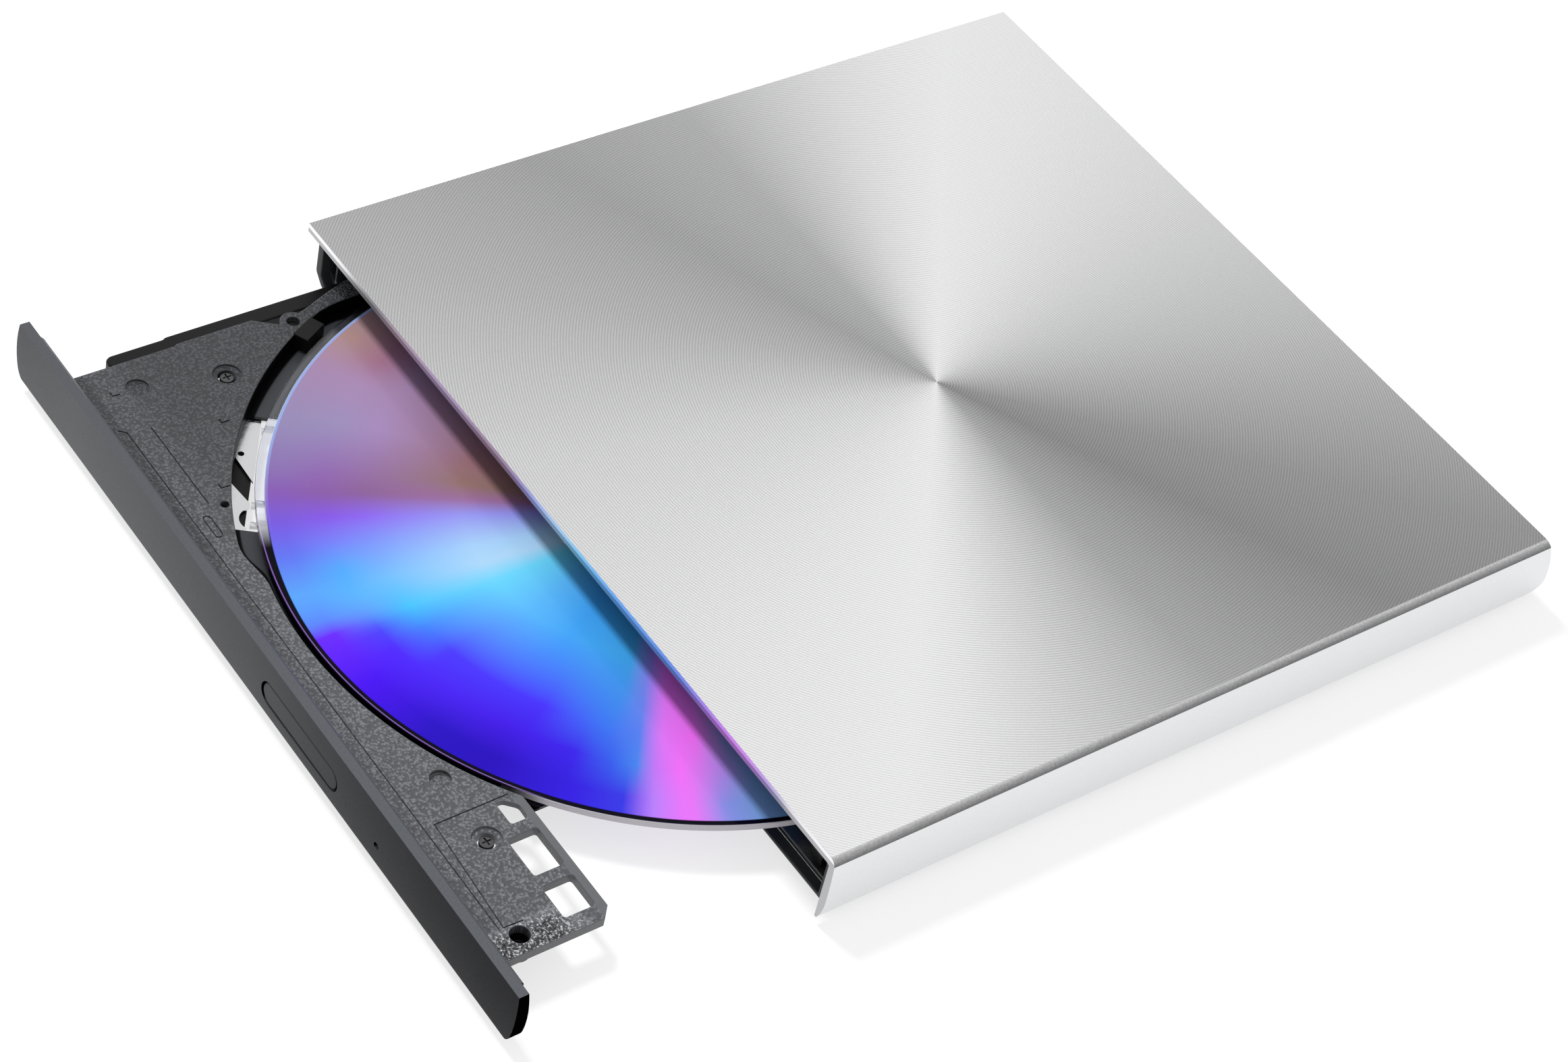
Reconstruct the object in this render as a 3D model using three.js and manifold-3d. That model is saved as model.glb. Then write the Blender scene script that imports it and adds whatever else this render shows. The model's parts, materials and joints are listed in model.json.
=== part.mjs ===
// Slim external optical drive, standing flat, with its disc tray part of the way out.
//
// Sizes are millimetres. While it is built, the casing's front lip is the plane y = 0, the
// casing runs towards +Y, the tray comes out towards -Y and the table is the plane z = 0.
// The exported group is then moved along Y, so that the origin is under the middle of the
// whole drive as it stands here.

import * as THREE from 'three';
import { mergeVertices } from 'three/addons/utils/BufferGeometryUtils.js';
import Module from 'manifold-3d';

const wasm = await Module();
wasm.setup();

// ---------------------------------------------------------------- driving dimensions

const GAP = 0.3; // clearance between neighbouring pieces
const WELD = 0.05; // how far two joined solids reach into each other
const ROUND = 96; // flats round the disc and everything of its size
const POCKET_STEPS = 144; // points round the pocket's edge

const LID_LEFT = -70.5;
const LID_RIGHT = 70.25;
const LID_DEPTH = 138.3;
const LID_TOP = 13.9;
const LID_SHEET = 1.2;
const LID_LIP = { depth: 1.3, thickness: 1.6 };
const LID_FOLD = 1.05; // how far the rounded fold reaches along the top and down the side
const SIDE = { bottom: 1.3, foot: 69.75, bulge: 70.5, bulgeHeight: 5.2, inside: 69.1 };
const SIDE_CURVE = { low: 2.5, high: 9.5 }; // heights that pull the side's curve in

const REAR_BULGE = 140.7; // the furthest that the rear reaches, low on the rear wall
const REAR_CURVE = { tuck: 2.6, low: 2.4, fullest: 4.6, high: 8.0, lean: 0.2 };
const FLOOR = { bottom: 1.4, top: 2.0 };
const TUB = { left: -70.3, right: 68.9, wall: 1.1, front: 4.2, cavityRear: 137.0, top: 12.4 };
const LOWER_CHAMFER = 2.0;

const MOUTH = { left: -68.8, right: 66.8, bottom: 2.2, top: 11.7, front: 2.1, back: 3.9 };

const PAN = { left: -67.8, right: 66.6, front: 4.2, rear: 131.0, bottom: 2.3, sheet: 0.4, top: 11.4 };
const SHIELD_Z = 11.8;

const DISC = { x: -0.45, y: 20.5, radius: 60, bore: 7.5, bottom: 5.4, thickness: 1.2, edge: 0.15 };
const POCKET = { radius: 61, wide: 63.4, wall: 0.8, floorTop: 4.45, floorBottom: 3.95 };
const WIDENING = { from: 192, full: 204, end: 251, to: 259 }; // in degrees round the disc

const TRAY = { left: -61.2, right: 59.7, front: -46.8, rear: 80, top: 7.0, plate: 1.7, ledge: 1.1 };
const TRAY_CUT = { x: 38, front: -27.7, back: 7 }; // the corner that leaves the disc overhanging
const RIM_RADIUS = 65.3; // the outer edge of the thin rim, where it passes over the left rail

const BEZEL = {
  left: -69.65,
  right: 68.45,
  front: -49.4,
  bottom: 1.7,
  top: 12.1,
  belly: 0.7,
  cornerTop: 3.8,
  corner: 1.9,
};
const BEZEL_PROFILE = { middle: 7.0, bow: 0.16, topIn: 0.2, bottomIn: 0.12, nose: 0.6, back: 2.05 };
const BEZEL_RIDGE = { left: -66.4, right: 66.2, back: -46.95, bottom: 2.6, top: 11.2 };
const BUTTON = { x: 13.5, z: 6.25, length: 20, height: 3.9, travel: 0.5, sunk: 0.1 };
const EJECT_HOLE = { x: 34.3, z: 5.4, radius: 0.6 };

const RAIL = { bottom: 3.6, top: 5.6 };
const LEFT_RAIL = { left: -64.6, right: -61.6, front: -38.0, rear: 87, step: -27.6 };
const RIGHT_RAIL = { left: 61.4, right: 63.8, front: 4.4, rear: 104 };

const SLED_ANGLE = THREE.MathUtils.degToRad(235); // the way the pickup travels, from +X
const MECH = { bottom: 2.95, top: 4.95 }; // the space under the disc that the pickup uses

const ORIGIN_SHIFT = -(BEZEL.front + REAR_BULGE) / 2;

// ---------------------------------------------------------------- solids

// A closed geometry as a manifold solid.
function solid(geometry) {
  geometry.deleteAttribute('normal');
  geometry.deleteAttribute('uv');
  const merged = mergeVertices(geometry, 1e-4);
  return new wasm.Manifold(
    new wasm.Mesh({
      numProp: 3,
      vertProperties: Float32Array.from(merged.attributes.position.array),
      triVerts: Uint32Array.from(merged.index.array),
    })
  );
}

function join(first, ...others) {
  return others.reduce((sum, other) => sum.add(other), first);
}

function cut(first, ...others) {
  return others.reduce((rest, other) => rest.subtract(other), first);
}

function box(x0, x1, y0, y1, z0, z1) {
  const geometry = new THREE.BoxGeometry(x1 - x0, y1 - y0, z1 - z0);
  geometry.translate((x0 + x1) / 2, (y0 + y1) / 2, (z0 + z1) / 2);
  return solid(geometry);
}

// An upright cylinder between two heights.
function post(x, y, radius, z0, z1, segments = 24) {
  const geometry = new THREE.CylinderGeometry(radius, radius, z1 - z0, segments);
  geometry.rotateX(Math.PI / 2);
  geometry.translate(x, y, (z0 + z1) / 2);
  return solid(geometry);
}

function outline(points) {
  return new THREE.Shape(points.map(([a, b]) => new THREE.Vector2(a, b)));
}

function extruded(shape, depth, curveSegments) {
  return new THREE.ExtrudeGeometry(shape, { depth, bevelEnabled: false, curveSegments });
}

// A plan outline, in x and y, between two heights.
function upright(shape, z0, z1, curveSegments = 10) {
  const geometry = extruded(shape, z1 - z0, curveSegments);
  geometry.translate(0, 0, z0);
  return solid(geometry);
}

// A front outline, in x and z, carried along Y.
function alongY(shape, y0, y1, curveSegments = 10) {
  const geometry = extruded(shape, y1 - y0, curveSegments);
  geometry.rotateX(Math.PI / 2);
  geometry.translate(0, y1, 0);
  return solid(geometry);
}

// A side outline, in y and z, carried along X.
function alongX(shape, x0, x1, curveSegments = 10) {
  const geometry = extruded(shape, x1 - x0, curveSegments);
  const yzx = new THREE.Matrix4().makeBasis(
    new THREE.Vector3(0, 1, 0),
    new THREE.Vector3(0, 0, 1),
    new THREE.Vector3(1, 0, 0)
  );
  geometry.applyMatrix4(yzx);
  geometry.translate(x0, 0, 0);
  return solid(geometry);
}

// A pill outline: a bar with half-round ends.
function pill(cx, cy, length, height) {
  const r = height / 2;
  const reach = length / 2 - r;
  const shape = new THREE.Shape();
  shape.absarc(cx + reach, cy, r, -Math.PI / 2, Math.PI / 2);
  shape.absarc(cx - reach, cy, r, Math.PI / 2, (Math.PI * 3) / 2);
  return shape;
}

function roundedRect(x0, x1, y0, y1, r) {
  const shape = new THREE.Shape();
  shape.absarc(x1 - r, y1 - r, r, 0, Math.PI / 2);
  shape.absarc(x0 + r, y1 - r, r, Math.PI / 2, Math.PI);
  shape.absarc(x0 + r, y0 + r, r, Math.PI, (Math.PI * 3) / 2);
  shape.absarc(x1 - r, y0 + r, r, (Math.PI * 3) / 2, Math.PI * 2);
  return shape;
}

// A piece that is laid out along the pickup's way, brought to the spindle and turned to it.
function onSledWay(piece) {
  return piece.rotate([0, 0, THREE.MathUtils.radToDeg(SLED_ANGLE)]).translate([DISC.x, DISC.y, 0]);
}

// ---------------------------------------------------------------- finishes

const finish = (color, roughness, metalness = 0) =>
  new THREE.MeshStandardMaterial({ color, roughness, metalness });

const SILVER = finish(0xc9cacc, 0.35, 1);
const DARK_PLASTIC = finish(0x3a3d40, 0.55);
const BLACK_PLASTIC = finish(0x17181a, 0.5);
const RUBBER = finish(0x1b1b1c, 0.9);
const PLATED_STEEL = finish(0xa7a9ab, 0.4, 1);
const BRIGHT_STEEL = finish(0xd5d6d8, 0.2, 1);
const BOARD_GREEN = finish(0x1d5a3a, 0.5);
const DISC_MIRROR = finish(0x6a5acd, 0.08, 1);
const LENS_GLASS = finish(0x8fb4d8, 0.05);

const drive = new THREE.Group();

function add(parent, name, piece, material) {
  const mesh = piece.getMesh();
  const geometry = new THREE.BufferGeometry();
  geometry.setAttribute('position', new THREE.BufferAttribute(mesh.vertProperties, 3));
  geometry.setIndex(new THREE.BufferAttribute(mesh.triVerts, 1));
  const node = new THREE.Mesh(geometry, material);
  node.name = name;
  parent.add(node);
  return node;
}

// ---------------------------------------------------------------- casing

// Side view of the casing: upright front, and a rear that swells out and tucks under.
function casingSide(front, bottom, top) {
  const { tuck, low, fullest, high, lean } = REAR_CURVE;
  const shape = new THREE.Shape();
  shape.moveTo(front, bottom);
  shape.lineTo(REAR_BULGE - tuck, bottom);
  shape.quadraticCurveTo(REAR_BULGE, low, REAR_BULGE, fullest);
  shape.quadraticCurveTo(REAR_BULGE - lean, high, LID_DEPTH, LID_TOP);
  shape.lineTo(LID_DEPTH, top);
  shape.lineTo(front, top);
  return shape;
}

// Front view of the cover: one sheet, folded down along its right side only.
function coverSection() {
  const { bottom, foot: footX, bulge, bulgeHeight, inside } = SIDE;
  const under = LID_TOP - LID_SHEET;
  const shape = new THREE.Shape();
  shape.moveTo(LID_LEFT, LID_TOP);
  shape.lineTo(LID_LEFT, under);
  shape.lineTo(inside, under);
  shape.lineTo(inside, bottom);
  shape.lineTo(footX, bottom);
  shape.quadraticCurveTo(bulge, SIDE_CURVE.low, bulge, bulgeHeight);
  shape.quadraticCurveTo(bulge, SIDE_CURVE.high, LID_RIGHT, LID_TOP - LID_FOLD);
  shape.quadraticCurveTo(LID_RIGHT, LID_TOP, LID_RIGHT - LID_FOLD, LID_TOP);
  return shape;
}

function topCover() {
  const sheet = alongY(coverSection(), 0, REAR_BULGE + 1);
  const lip = box(
    LID_LEFT,
    SIDE.inside + WELD,
    0,
    LID_LIP.depth,
    LID_TOP - LID_LIP.thickness,
    LID_TOP - LID_SHEET + WELD
  );
  const side = alongX(casingSide(-1, SIDE.bottom, LID_TOP + 1), LID_LEFT - 1, LID_RIGHT + 2);
  return join(sheet, lip).intersect(side);
}

// Front view of the dark tub and of the mouth frame: a box with its lower left edge cut off.
function tubSection(left, right, bottom, top, chamfer) {
  return outline([
    [left, top],
    [left, bottom + chamfer],
    [left + chamfer, bottom],
    [right, bottom],
    [right, top],
  ]);
}

const PORT = { x: -40, z: 6.9, width: 8.9, height: 3.2 }; // the rear socket's mouth

function bottomCover() {
  const block = alongY(
    tubSection(TUB.left, TUB.right, FLOOR.bottom, TUB.top, LOWER_CHAMFER),
    TUB.front,
    REAR_BULGE + 1
  );
  const side = alongX(casingSide(0, 0, TUB.top), TUB.left - 1, TUB.right + 1);
  const cavity = alongY(
    tubSection(TUB.left + TUB.wall, TUB.right - TUB.wall, FLOOR.top, TUB.top + 1, LOWER_CHAMFER - 0.6),
    TUB.front - 1,
    TUB.cavityRear
  );
  const port = alongY(
    pill(PORT.x, PORT.z, PORT.width + 2 * GAP, PORT.height + 2 * GAP),
    TUB.cavityRear - 1,
    REAR_BULGE + 1
  );
  return cut(block.intersect(side), cavity, port, ...screwHoles());
}

function mouthFrame() {
  const plate = alongY(
    tubSection(TUB.left, TUB.right, FLOOR.bottom + 0.2, TUB.top, LOWER_CHAMFER),
    MOUTH.front,
    MOUTH.back
  );
  const opening = alongY(
    tubSection(MOUTH.left, MOUTH.right, MOUTH.bottom, MOUTH.top, 1.5),
    MOUTH.front - 1,
    MOUTH.back + 1
  );
  return cut(plate, opening);
}

// ---------------------------------------------------------------- feet and case screws

const FOOT = { length: 14, width: 5, height: 1.1, cover: 0.35 };
const SCREW = { head: 1.5, headBottom: 0.65, headTop: 1.1, shank: 0.7 };
const FEET = [
  [-57, 12],
  [57, 12],
  [-57, 128],
  [57, 128],
];
const FOOT_NAMES = ['front_left', 'front_right', 'rear_left', 'rear_right'];

// A rubber foot, hollowed from above over the screw head that it hides.
function foot(x, y) {
  const pad = upright(pill(x, y, FOOT.length, FOOT.width), 0, FOOT.height);
  return cut(pad, post(x, y, SCREW.head + GAP, FOOT.cover, FOOT.height + 1));
}

// The screw that holds the tub to the drive's pan, driven from below.
function caseScrew(x, y) {
  const head = post(x, y, SCREW.head, SCREW.headBottom, SCREW.headTop);
  const shank = post(x, y, SCREW.shank, SCREW.headTop - WELD, PAN.bottom + PAN.sheet, 12);
  return join(head, shank);
}

function screwHoles() {
  return FEET.map(([x, y]) => post(x, y, SCREW.shank + GAP, 0, PAN.bottom + 1, 16));
}

// ---------------------------------------------------------------- rear socket and boards

const SHELL = { wall: 0.3, back: 0.4, front: 133.2, rear: 139.7 };
const TONGUE = { halfWidth: 3.2, halfHeight: 0.35, front: 134.1, rear: 138.7 };
const BRIDGE = { left: -56, right: 6, front: 131.4, rear: 136.6, bottom: 3.6, top: 4.6 };
const CHIP = { left: -24, right: -19.4, front: 131.8, rear: 136.4, bottom: 4.9, top: 5.9 };
const CONNECTOR = { left: -15, right: 4, front: 130.2, rear: 135.6, bottom: 4.9, top: 8.1 };

function usbShell() {
  const { wall, back, front, rear } = SHELL;
  const outer = alongY(pill(PORT.x, PORT.z, PORT.width, PORT.height), front, rear);
  const inside = pill(PORT.x, PORT.z, PORT.width - 2 * wall, PORT.height - 2 * wall);
  return cut(outer, alongY(inside, front + back, rear + 1));
}

function usbTongue() {
  const { halfWidth, halfHeight, front, rear } = TONGUE;
  return box(
    PORT.x - halfWidth,
    PORT.x + halfWidth,
    front,
    rear,
    PORT.z - halfHeight,
    PORT.z + halfHeight
  );
}

function bridgeBoard() {
  return box(BRIDGE.left, BRIDGE.right, BRIDGE.front, BRIDGE.rear, BRIDGE.bottom, BRIDGE.top);
}

function bridgeChip() {
  return box(CHIP.left, CHIP.right, CHIP.front, CHIP.rear, CHIP.bottom, CHIP.top);
}

// The plug block that passes through the pan's rear wall, above the bridge board.
function connectorBlock(clearance) {
  const { left, right, front, rear, bottom, top } = CONNECTOR;
  return box(left - clearance, right + clearance, front, rear, bottom - clearance, top + clearance);
}

// ---------------------------------------------------------------- drive chassis

const STUD = { x: 27.2, y: 17, radius: 0.8, top: 3.7 }; // the shut tray's latch hooks onto it
const BOARD = { left: -54, right: 54, front: 104, rear: 128.5, corner: 2, bottom: 3.0, top: 3.6 };
const SHIELD_SLOTS = { across: [-34, 34], y: 118, length: 22, width: 3 };
const GUIDE = { front: 6, rear: 128, wall: 1.0, toe: 2.2, bottom: 2.85, flange: 0.4, top: 5.4 };

function drivePan() {
  const { left, right, front, rear, bottom, sheet, top } = PAN;
  const body = box(left, right, front, rear, bottom, top);
  const inside = box(left + sheet, right - sheet, front - 1, rear - sheet, bottom + sheet, top + 1);
  const stud = post(STUD.x, STUD.y, STUD.radius, bottom + sheet - WELD, STUD.top, 16);
  return join(cut(body, inside, connectorBlock(GAP), ...screwHoles()), stud);
}

// The drive's own circuit board, on the pan's floor behind everything that moves.
function mainBoard() {
  const { left, right, front, rear, corner, bottom, top } = BOARD;
  return upright(roundedRect(left, right, front, rear, corner), bottom, top, 3);
}

function driveShield() {
  const sheet = box(PAN.left, PAN.right, PAN.front + 0.4, PAN.rear, SHIELD_Z, SHIELD_Z + PAN.sheet);
  const slots = SHIELD_SLOTS.across.map((x) =>
    upright(pill(x, SHIELD_SLOTS.y, SHIELD_SLOTS.length, SHIELD_SLOTS.width), SHIELD_Z - 1, SHIELD_Z + 1)
  );
  return cut(sheet, ...slots);
}

// A fixed channel beside a rail: an upright wall with a foot turned in under the rail.
function railGuide(rail, inward) {
  const { front, rear, wall, toe, bottom, flange, top } = GUIDE;
  const near = (inward > 0 ? rail.left : rail.right) - inward * GAP;
  const far = near - inward * wall;
  const tip = near + inward * (GAP + toe);
  return join(
    box(Math.min(far, near), Math.max(far, near), front, rear, bottom, top),
    box(Math.min(far, tip), Math.max(far, tip), front, rear, bottom, bottom + flange)
  );
}

// ---------------------------------------------------------------- sliding rails

// The rail that is seen beside the open tray: its tip is rounded off, and narrower to a step.
function leftRail() {
  const { left, right, front, rear, step } = LEFT_RAIL;
  return upright(
    outline([
      [right, front + 0.2],
      [left + 0.9, front],
      [left + 0.25, front + 0.9],
      [left + 0.25, step - 0.5],
      [left, step],
      [left, rear],
      [right, rear],
    ]),
    RAIL.bottom,
    RAIL.top
  );
}

function rightRail() {
  const { left, right, front, rear } = RIGHT_RAIL;
  return box(left, right, front, rear, RAIL.bottom, RAIL.top);
}

// ---------------------------------------------------------------- tray

// Where the tray's own features are.
const WINDOWS = [
  { x0: 42.3, x1: 49.3, y0: -33.9, y1: -29.0 },
  { x0: 51.3, x1: 57.1, y0: -34.1, y1: -29.1 },
];
const WINDOW_CORNER = 0.6;
const PENTAGON = [
  [36.3, -31.9],
  [36.2, -30.8],
  [37.9, -29.1],
  [40.3, -29.2],
  [40.3, -31.9],
];
const PENTAGON_RELIEF = { x0: 34.3, x1: 40.7, y0: -32.3, y1: -28.1, top: 6.1 };
const DIMPLES = [
  { x: -55.4, y: -37.2, radius: 1.75, depth: 0.45 },
  { x: 29.1, y: -36.3, radius: 1.55, depth: 0.8 },
];
const TRAY_SCREWS = [
  { name: 'tray_screw_left', x: -52.4, y: -23.8 },
  { name: 'tray_screw_right', x: 41.0, y: -36.2 },
];
const TRAY_SCREW = {
  recess: 2.3,
  recessDepth: 0.45,
  head: 1.1,
  headTop: 6.45,
  headHeight: 0.6,
  shank: 0.55,
  tip: 4.75,
};
const LOCATING_HOLE = { x: 56.7, y: -40.9, radius: 1.45, boss: 2.3, bottom: 3.4 };
const PIN_HOLE = { x: -28.9, y: -37.3, radius: 0.65 };
const EYE = { x: -58.5, y: -9.0, outer: 2.1, inner: 1.0, depth: 0.9 };
const CLIPS = [
  { angle: 207, inner: 60.9, outer: 63.6 },
  { angle: 153, inner: 60.5, outer: 61.3 },
  { angle: 27, inner: 60.5, outer: 61.3 },
];
const CLIP_SIZE = { halfLength: 2.4, top: 7.2 };

// The pocket's radius in one direction: it widens in front of the disc's left half.
function pocketRadius(degrees) {
  const { from, full, end, to } = WIDENING;
  const { smoothstep } = THREE.MathUtils;
  const widened = Math.min(smoothstep(degrees, from, full), 1 - smoothstep(degrees, end, to));
  return POCKET.radius + (POCKET.wide - POCKET.radius) * widened;
}

// The pocket, or something that follows its edge further out, between two heights.
function pocketSolid(further, z0, z1) {
  const points = [];
  for (let i = 0; i < POCKET_STEPS; i += 1) {
    const degrees = (360 * i) / POCKET_STEPS;
    const radius = pocketRadius(degrees) + further;
    const angle = THREE.MathUtils.degToRad(degrees);
    points.push([DISC.x + radius * Math.cos(angle), DISC.y + radius * Math.sin(angle)]);
  }
  return upright(outline(points), z0, z1);
}

// The platform behind the bezel, before the disc pocket is sunk into it. Its points at the
// middle lie anywhere inside the pocket.
function trayPlatform() {
  const plan = outline([
    [TRAY.left, TRAY.front],
    [TRAY.right, TRAY.front],
    [TRAY.right, TRAY_CUT.front - 1.6],
    [TRAY.right - 1.8, TRAY_CUT.front],
    [TRAY_CUT.x - 0.6, TRAY_CUT.front],
    [0, 0],
    [-50, -5],
    [-58.6, -11.0],
    [TRAY.left, -14.8],
  ]);
  return upright(plan, TRAY.top - TRAY.plate, TRAY.top);
}

// The thin part of the tray above the rails: the rim round the disc and the two rear corners.
function trayLedge() {
  const z0 = TRAY.top - TRAY.ledge;
  const rim = post(DISC.x, DISC.y, RIM_RADIUS, z0, TRAY.top, ROUND);
  const rimLimits = box(-80, 0, -11.5, TRAY.rear, 0, 20);
  const rearPlate = upright(
    roundedRect(LEFT_RAIL.left, RIGHT_RAIL.right - GAP, 48, TRAY.rear, 2),
    z0,
    TRAY.top
  );
  const rightArm = box(50, RIGHT_RAIL.right - GAP, TRAY_CUT.back, 60, z0, TRAY.top);
  const eyeBoss = post(EYE.x, EYE.y, EYE.outer, z0, TRAY.top);
  return join(rim.intersect(rimLimits), rearPlate, rightArm, eyeBoss);
}

const BOWL_END = { x: 33.6, y: -27.4 }; // the bowl is left out to the right of and before this

// The shallow bowl that the disc lies in: a thin floor with a wall round it.
function trayBowl() {
  const bowl = pocketSolid(POCKET.wall, POCKET.floorBottom, TRAY.top - 0.5);
  const limits = box(LEFT_RAIL.right + GAP, RIGHT_RAIL.left - GAP, -60, TRAY.rear, 0, 20);
  const openEnd = box(BOWL_END.x, RIGHT_RAIL.right, -60, BOWL_END.y, 0, 20);
  return cut(bowl.intersect(limits), openEnd);
}

const OPENING = { start: -4, end: 70, left: -11.5, right: 12.2, hub: 17 };

// The way through the bowl's floor for the spindle, the pickup and its rods.
function trayOpening() {
  const { start, end, left, right, hub } = OPENING;
  const way = onSledWay(box(start, end, left, right, 0, TRAY.top));
  return join(way.intersect(pocketSolid(0, 0, TRAY.top)), post(DISC.x, DISC.y, hub, 0, TRAY.top, 48));
}

// A small upright hook at the rim, which keeps a disc in when the drive stands on edge.
function discClip({ angle, inner, outer }) {
  const { halfLength, top } = CLIP_SIZE;
  const block = box(inner, outer, -halfLength, halfLength, POCKET.floorTop - WELD, top);
  return block.rotate([0, 0, angle]).translate([DISC.x, DISC.y, 0]);
}

function trayScrewHole({ x, y }) {
  return join(
    post(x, y, TRAY_SCREW.recess, TRAY.top - TRAY_SCREW.recessDepth, TRAY.top + 1),
    post(x, y, TRAY_SCREW.head + GAP, TRAY_SCREW.headTop - TRAY_SCREW.headHeight - GAP, TRAY.top + 1),
    post(x, y, TRAY_SCREW.shank + GAP, 0, TRAY.top)
  );
}

function tray() {
  const boss = post(
    LOCATING_HOLE.x,
    LOCATING_HOLE.y,
    LOCATING_HOLE.boss,
    LOCATING_HOLE.bottom,
    TRAY.top - TRAY.plate + WELD
  );
  const body = join(trayPlatform(), trayLedge(), trayBowl(), boss);
  const pocket = pocketSolid(0, POCKET.floorTop, TRAY.top + 1);
  const corner = box(TRAY_CUT.x, 80, TRAY_CUT.front, TRAY_CUT.back, 0, 20);
  const windows = WINDOWS.map(({ x0, x1, y0, y1 }) =>
    upright(roundedRect(x0, x1, y0, y1, WINDOW_CORNER), 0, 10, 4)
  );
  const dimples = DIMPLES.map(({ x, y, radius, depth }) => post(x, y, radius, TRAY.top - depth, 10));
  const { x0, x1, y0, y1, top } = PENTAGON_RELIEF;
  const holes = [
    upright(outline(PENTAGON), 0, 10),
    box(x0, x1, y0, y1, 0, top),
    post(LOCATING_HOLE.x, LOCATING_HOLE.y, LOCATING_HOLE.radius, LOCATING_HOLE.bottom + 0.5, 10),
    post(PIN_HOLE.x, PIN_HOLE.y, PIN_HOLE.radius, 0, 10, 16),
    post(EYE.x, EYE.y, EYE.inner, TRAY.top - EYE.depth, 10),
  ];
  const hollowed = cut(
    body,
    pocket,
    trayOpening(),
    corner,
    ...windows,
    ...dimples,
    ...holes,
    ...TRAY_SCREWS.map(trayScrewHole)
  );
  return join(hollowed, ...CLIPS.map(discClip));
}

function trayScrew({ x, y }) {
  const headBottom = TRAY_SCREW.headTop - TRAY_SCREW.headHeight;
  const head = post(x, y, TRAY_SCREW.head, headBottom, TRAY_SCREW.headTop, 20);
  const shank = post(x, y, TRAY_SCREW.shank, TRAY_SCREW.tip, headBottom + WELD, 12);
  return join(head, shank);
}

// ---------------------------------------------------------------- bezel and eject button

// Side view of the bezel: a slightly bowed front, and a back that is cut away below.
function bezelSide() {
  const { front, bottom, top } = BEZEL;
  const { middle, bow, topIn, bottomIn, nose, back } = BEZEL_PROFILE;
  const shape = new THREE.Shape();
  shape.moveTo(front + topIn, top);
  shape.quadraticCurveTo(front - bow, middle, front + bottomIn, bottom + nose);
  shape.quadraticCurveTo(front + bottomIn, bottom, front + nose, bottom);
  shape.lineTo(front + 2 * nose, bottom);
  shape.quadraticCurveTo(front + back, bottom, front + back, bottom + 2 * nose);
  shape.quadraticCurveTo(front + back, middle, front + back - topIn, top);
  return shape;
}

// Front view of the bezel: both ends belly out a little and are rounded off below.
function bezelFront() {
  const { left, right, bottom, top, belly, cornerTop, corner } = BEZEL;
  const shape = new THREE.Shape();
  shape.moveTo(left, top);
  shape.quadraticCurveTo(left - belly, (top + cornerTop) / 2, left, cornerTop);
  shape.quadraticCurveTo(left + 0.4, bottom, left + corner, bottom);
  shape.lineTo(right - corner, bottom);
  shape.quadraticCurveTo(right - 0.4, bottom, right, cornerTop);
  shape.quadraticCurveTo(right + belly, (top + cornerTop) / 2, right, top);
  return shape;
}

// The thicker middle of the bezel, which enters the mouth when the tray is shut.
function bezelRidge() {
  const { back, bottom, top } = BEZEL_RIDGE;
  const inside = BEZEL.front + 1.0;
  return outline([
    [inside, BEZEL.top - 0.12],
    [inside, bottom],
    [back, bottom],
    [back, top],
    [back - 0.75, BEZEL.top - 0.12],
  ]);
}

function bezel() {
  const frontView = alongY(bezelFront(), BEZEL.front - 1, BEZEL_RIDGE.back + 1, 8);
  const panel = alongX(bezelSide(), BEZEL.left - 1, BEZEL.right + 1, 8).intersect(frontView);
  const ridge = alongX(bezelRidge(), BEZEL_RIDGE.left, BEZEL_RIDGE.right);
  const buttonHole = alongY(
    pill(BUTTON.x, BUTTON.z, BUTTON.length + 2 * GAP, BUTTON.height + 2 * GAP),
    BEZEL.front - 1,
    BEZEL_RIDGE.back + 1
  );
  const pinHole = alongY(
    pill(EJECT_HOLE.x, EJECT_HOLE.z, 2 * EJECT_HOLE.radius, 2 * EJECT_HOLE.radius - 0.001),
    BEZEL.front - 1,
    BEZEL_RIDGE.back + 1
  );
  return cut(join(panel, ridge), buttonHole, pinHole);
}

function ejectButton() {
  return alongY(
    pill(BUTTON.x, BUTTON.z, BUTTON.length, BUTTON.height),
    BEZEL.front + BUTTON.sunk,
    BEZEL_RIDGE.back - BUTTON.travel - BUTTON.sunk
  );
}

const SWITCH = { halfWidth: 2.2, front: -46.1, rear: -43.6, bottom: 3.0, top: 5.0 };
const SWITCH_PLUNGER = { halfWidth: 0.8, front: -46.8, bottom: 4.3 };

// The switch behind the button, hung under the tray, with a short plunger towards it.
function ejectSwitch() {
  const { halfWidth, front, rear, bottom, top } = SWITCH;
  const body = box(BUTTON.x - halfWidth, BUTTON.x + halfWidth, front, rear, bottom, top);
  const plunger = box(
    BUTTON.x - SWITCH_PLUNGER.halfWidth,
    BUTTON.x + SWITCH_PLUNGER.halfWidth,
    SWITCH_PLUNGER.front,
    front + WELD,
    SWITCH_PLUNGER.bottom,
    top
  );
  return join(body, plunger);
}

// ---------------------------------------------------------------- latch under the tray

const LATCH = { x: 29.5, y: -42.5, bottom: 3.0, top: 3.6, boss: 1.9, bossTop: 5.0, released: 12 };
const LATCH_ARM = { halfWidth: 1.2, tail: 2.6, length: 13, tooth: 1.4, reach: 3.4, slope: 1.2 };

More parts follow.
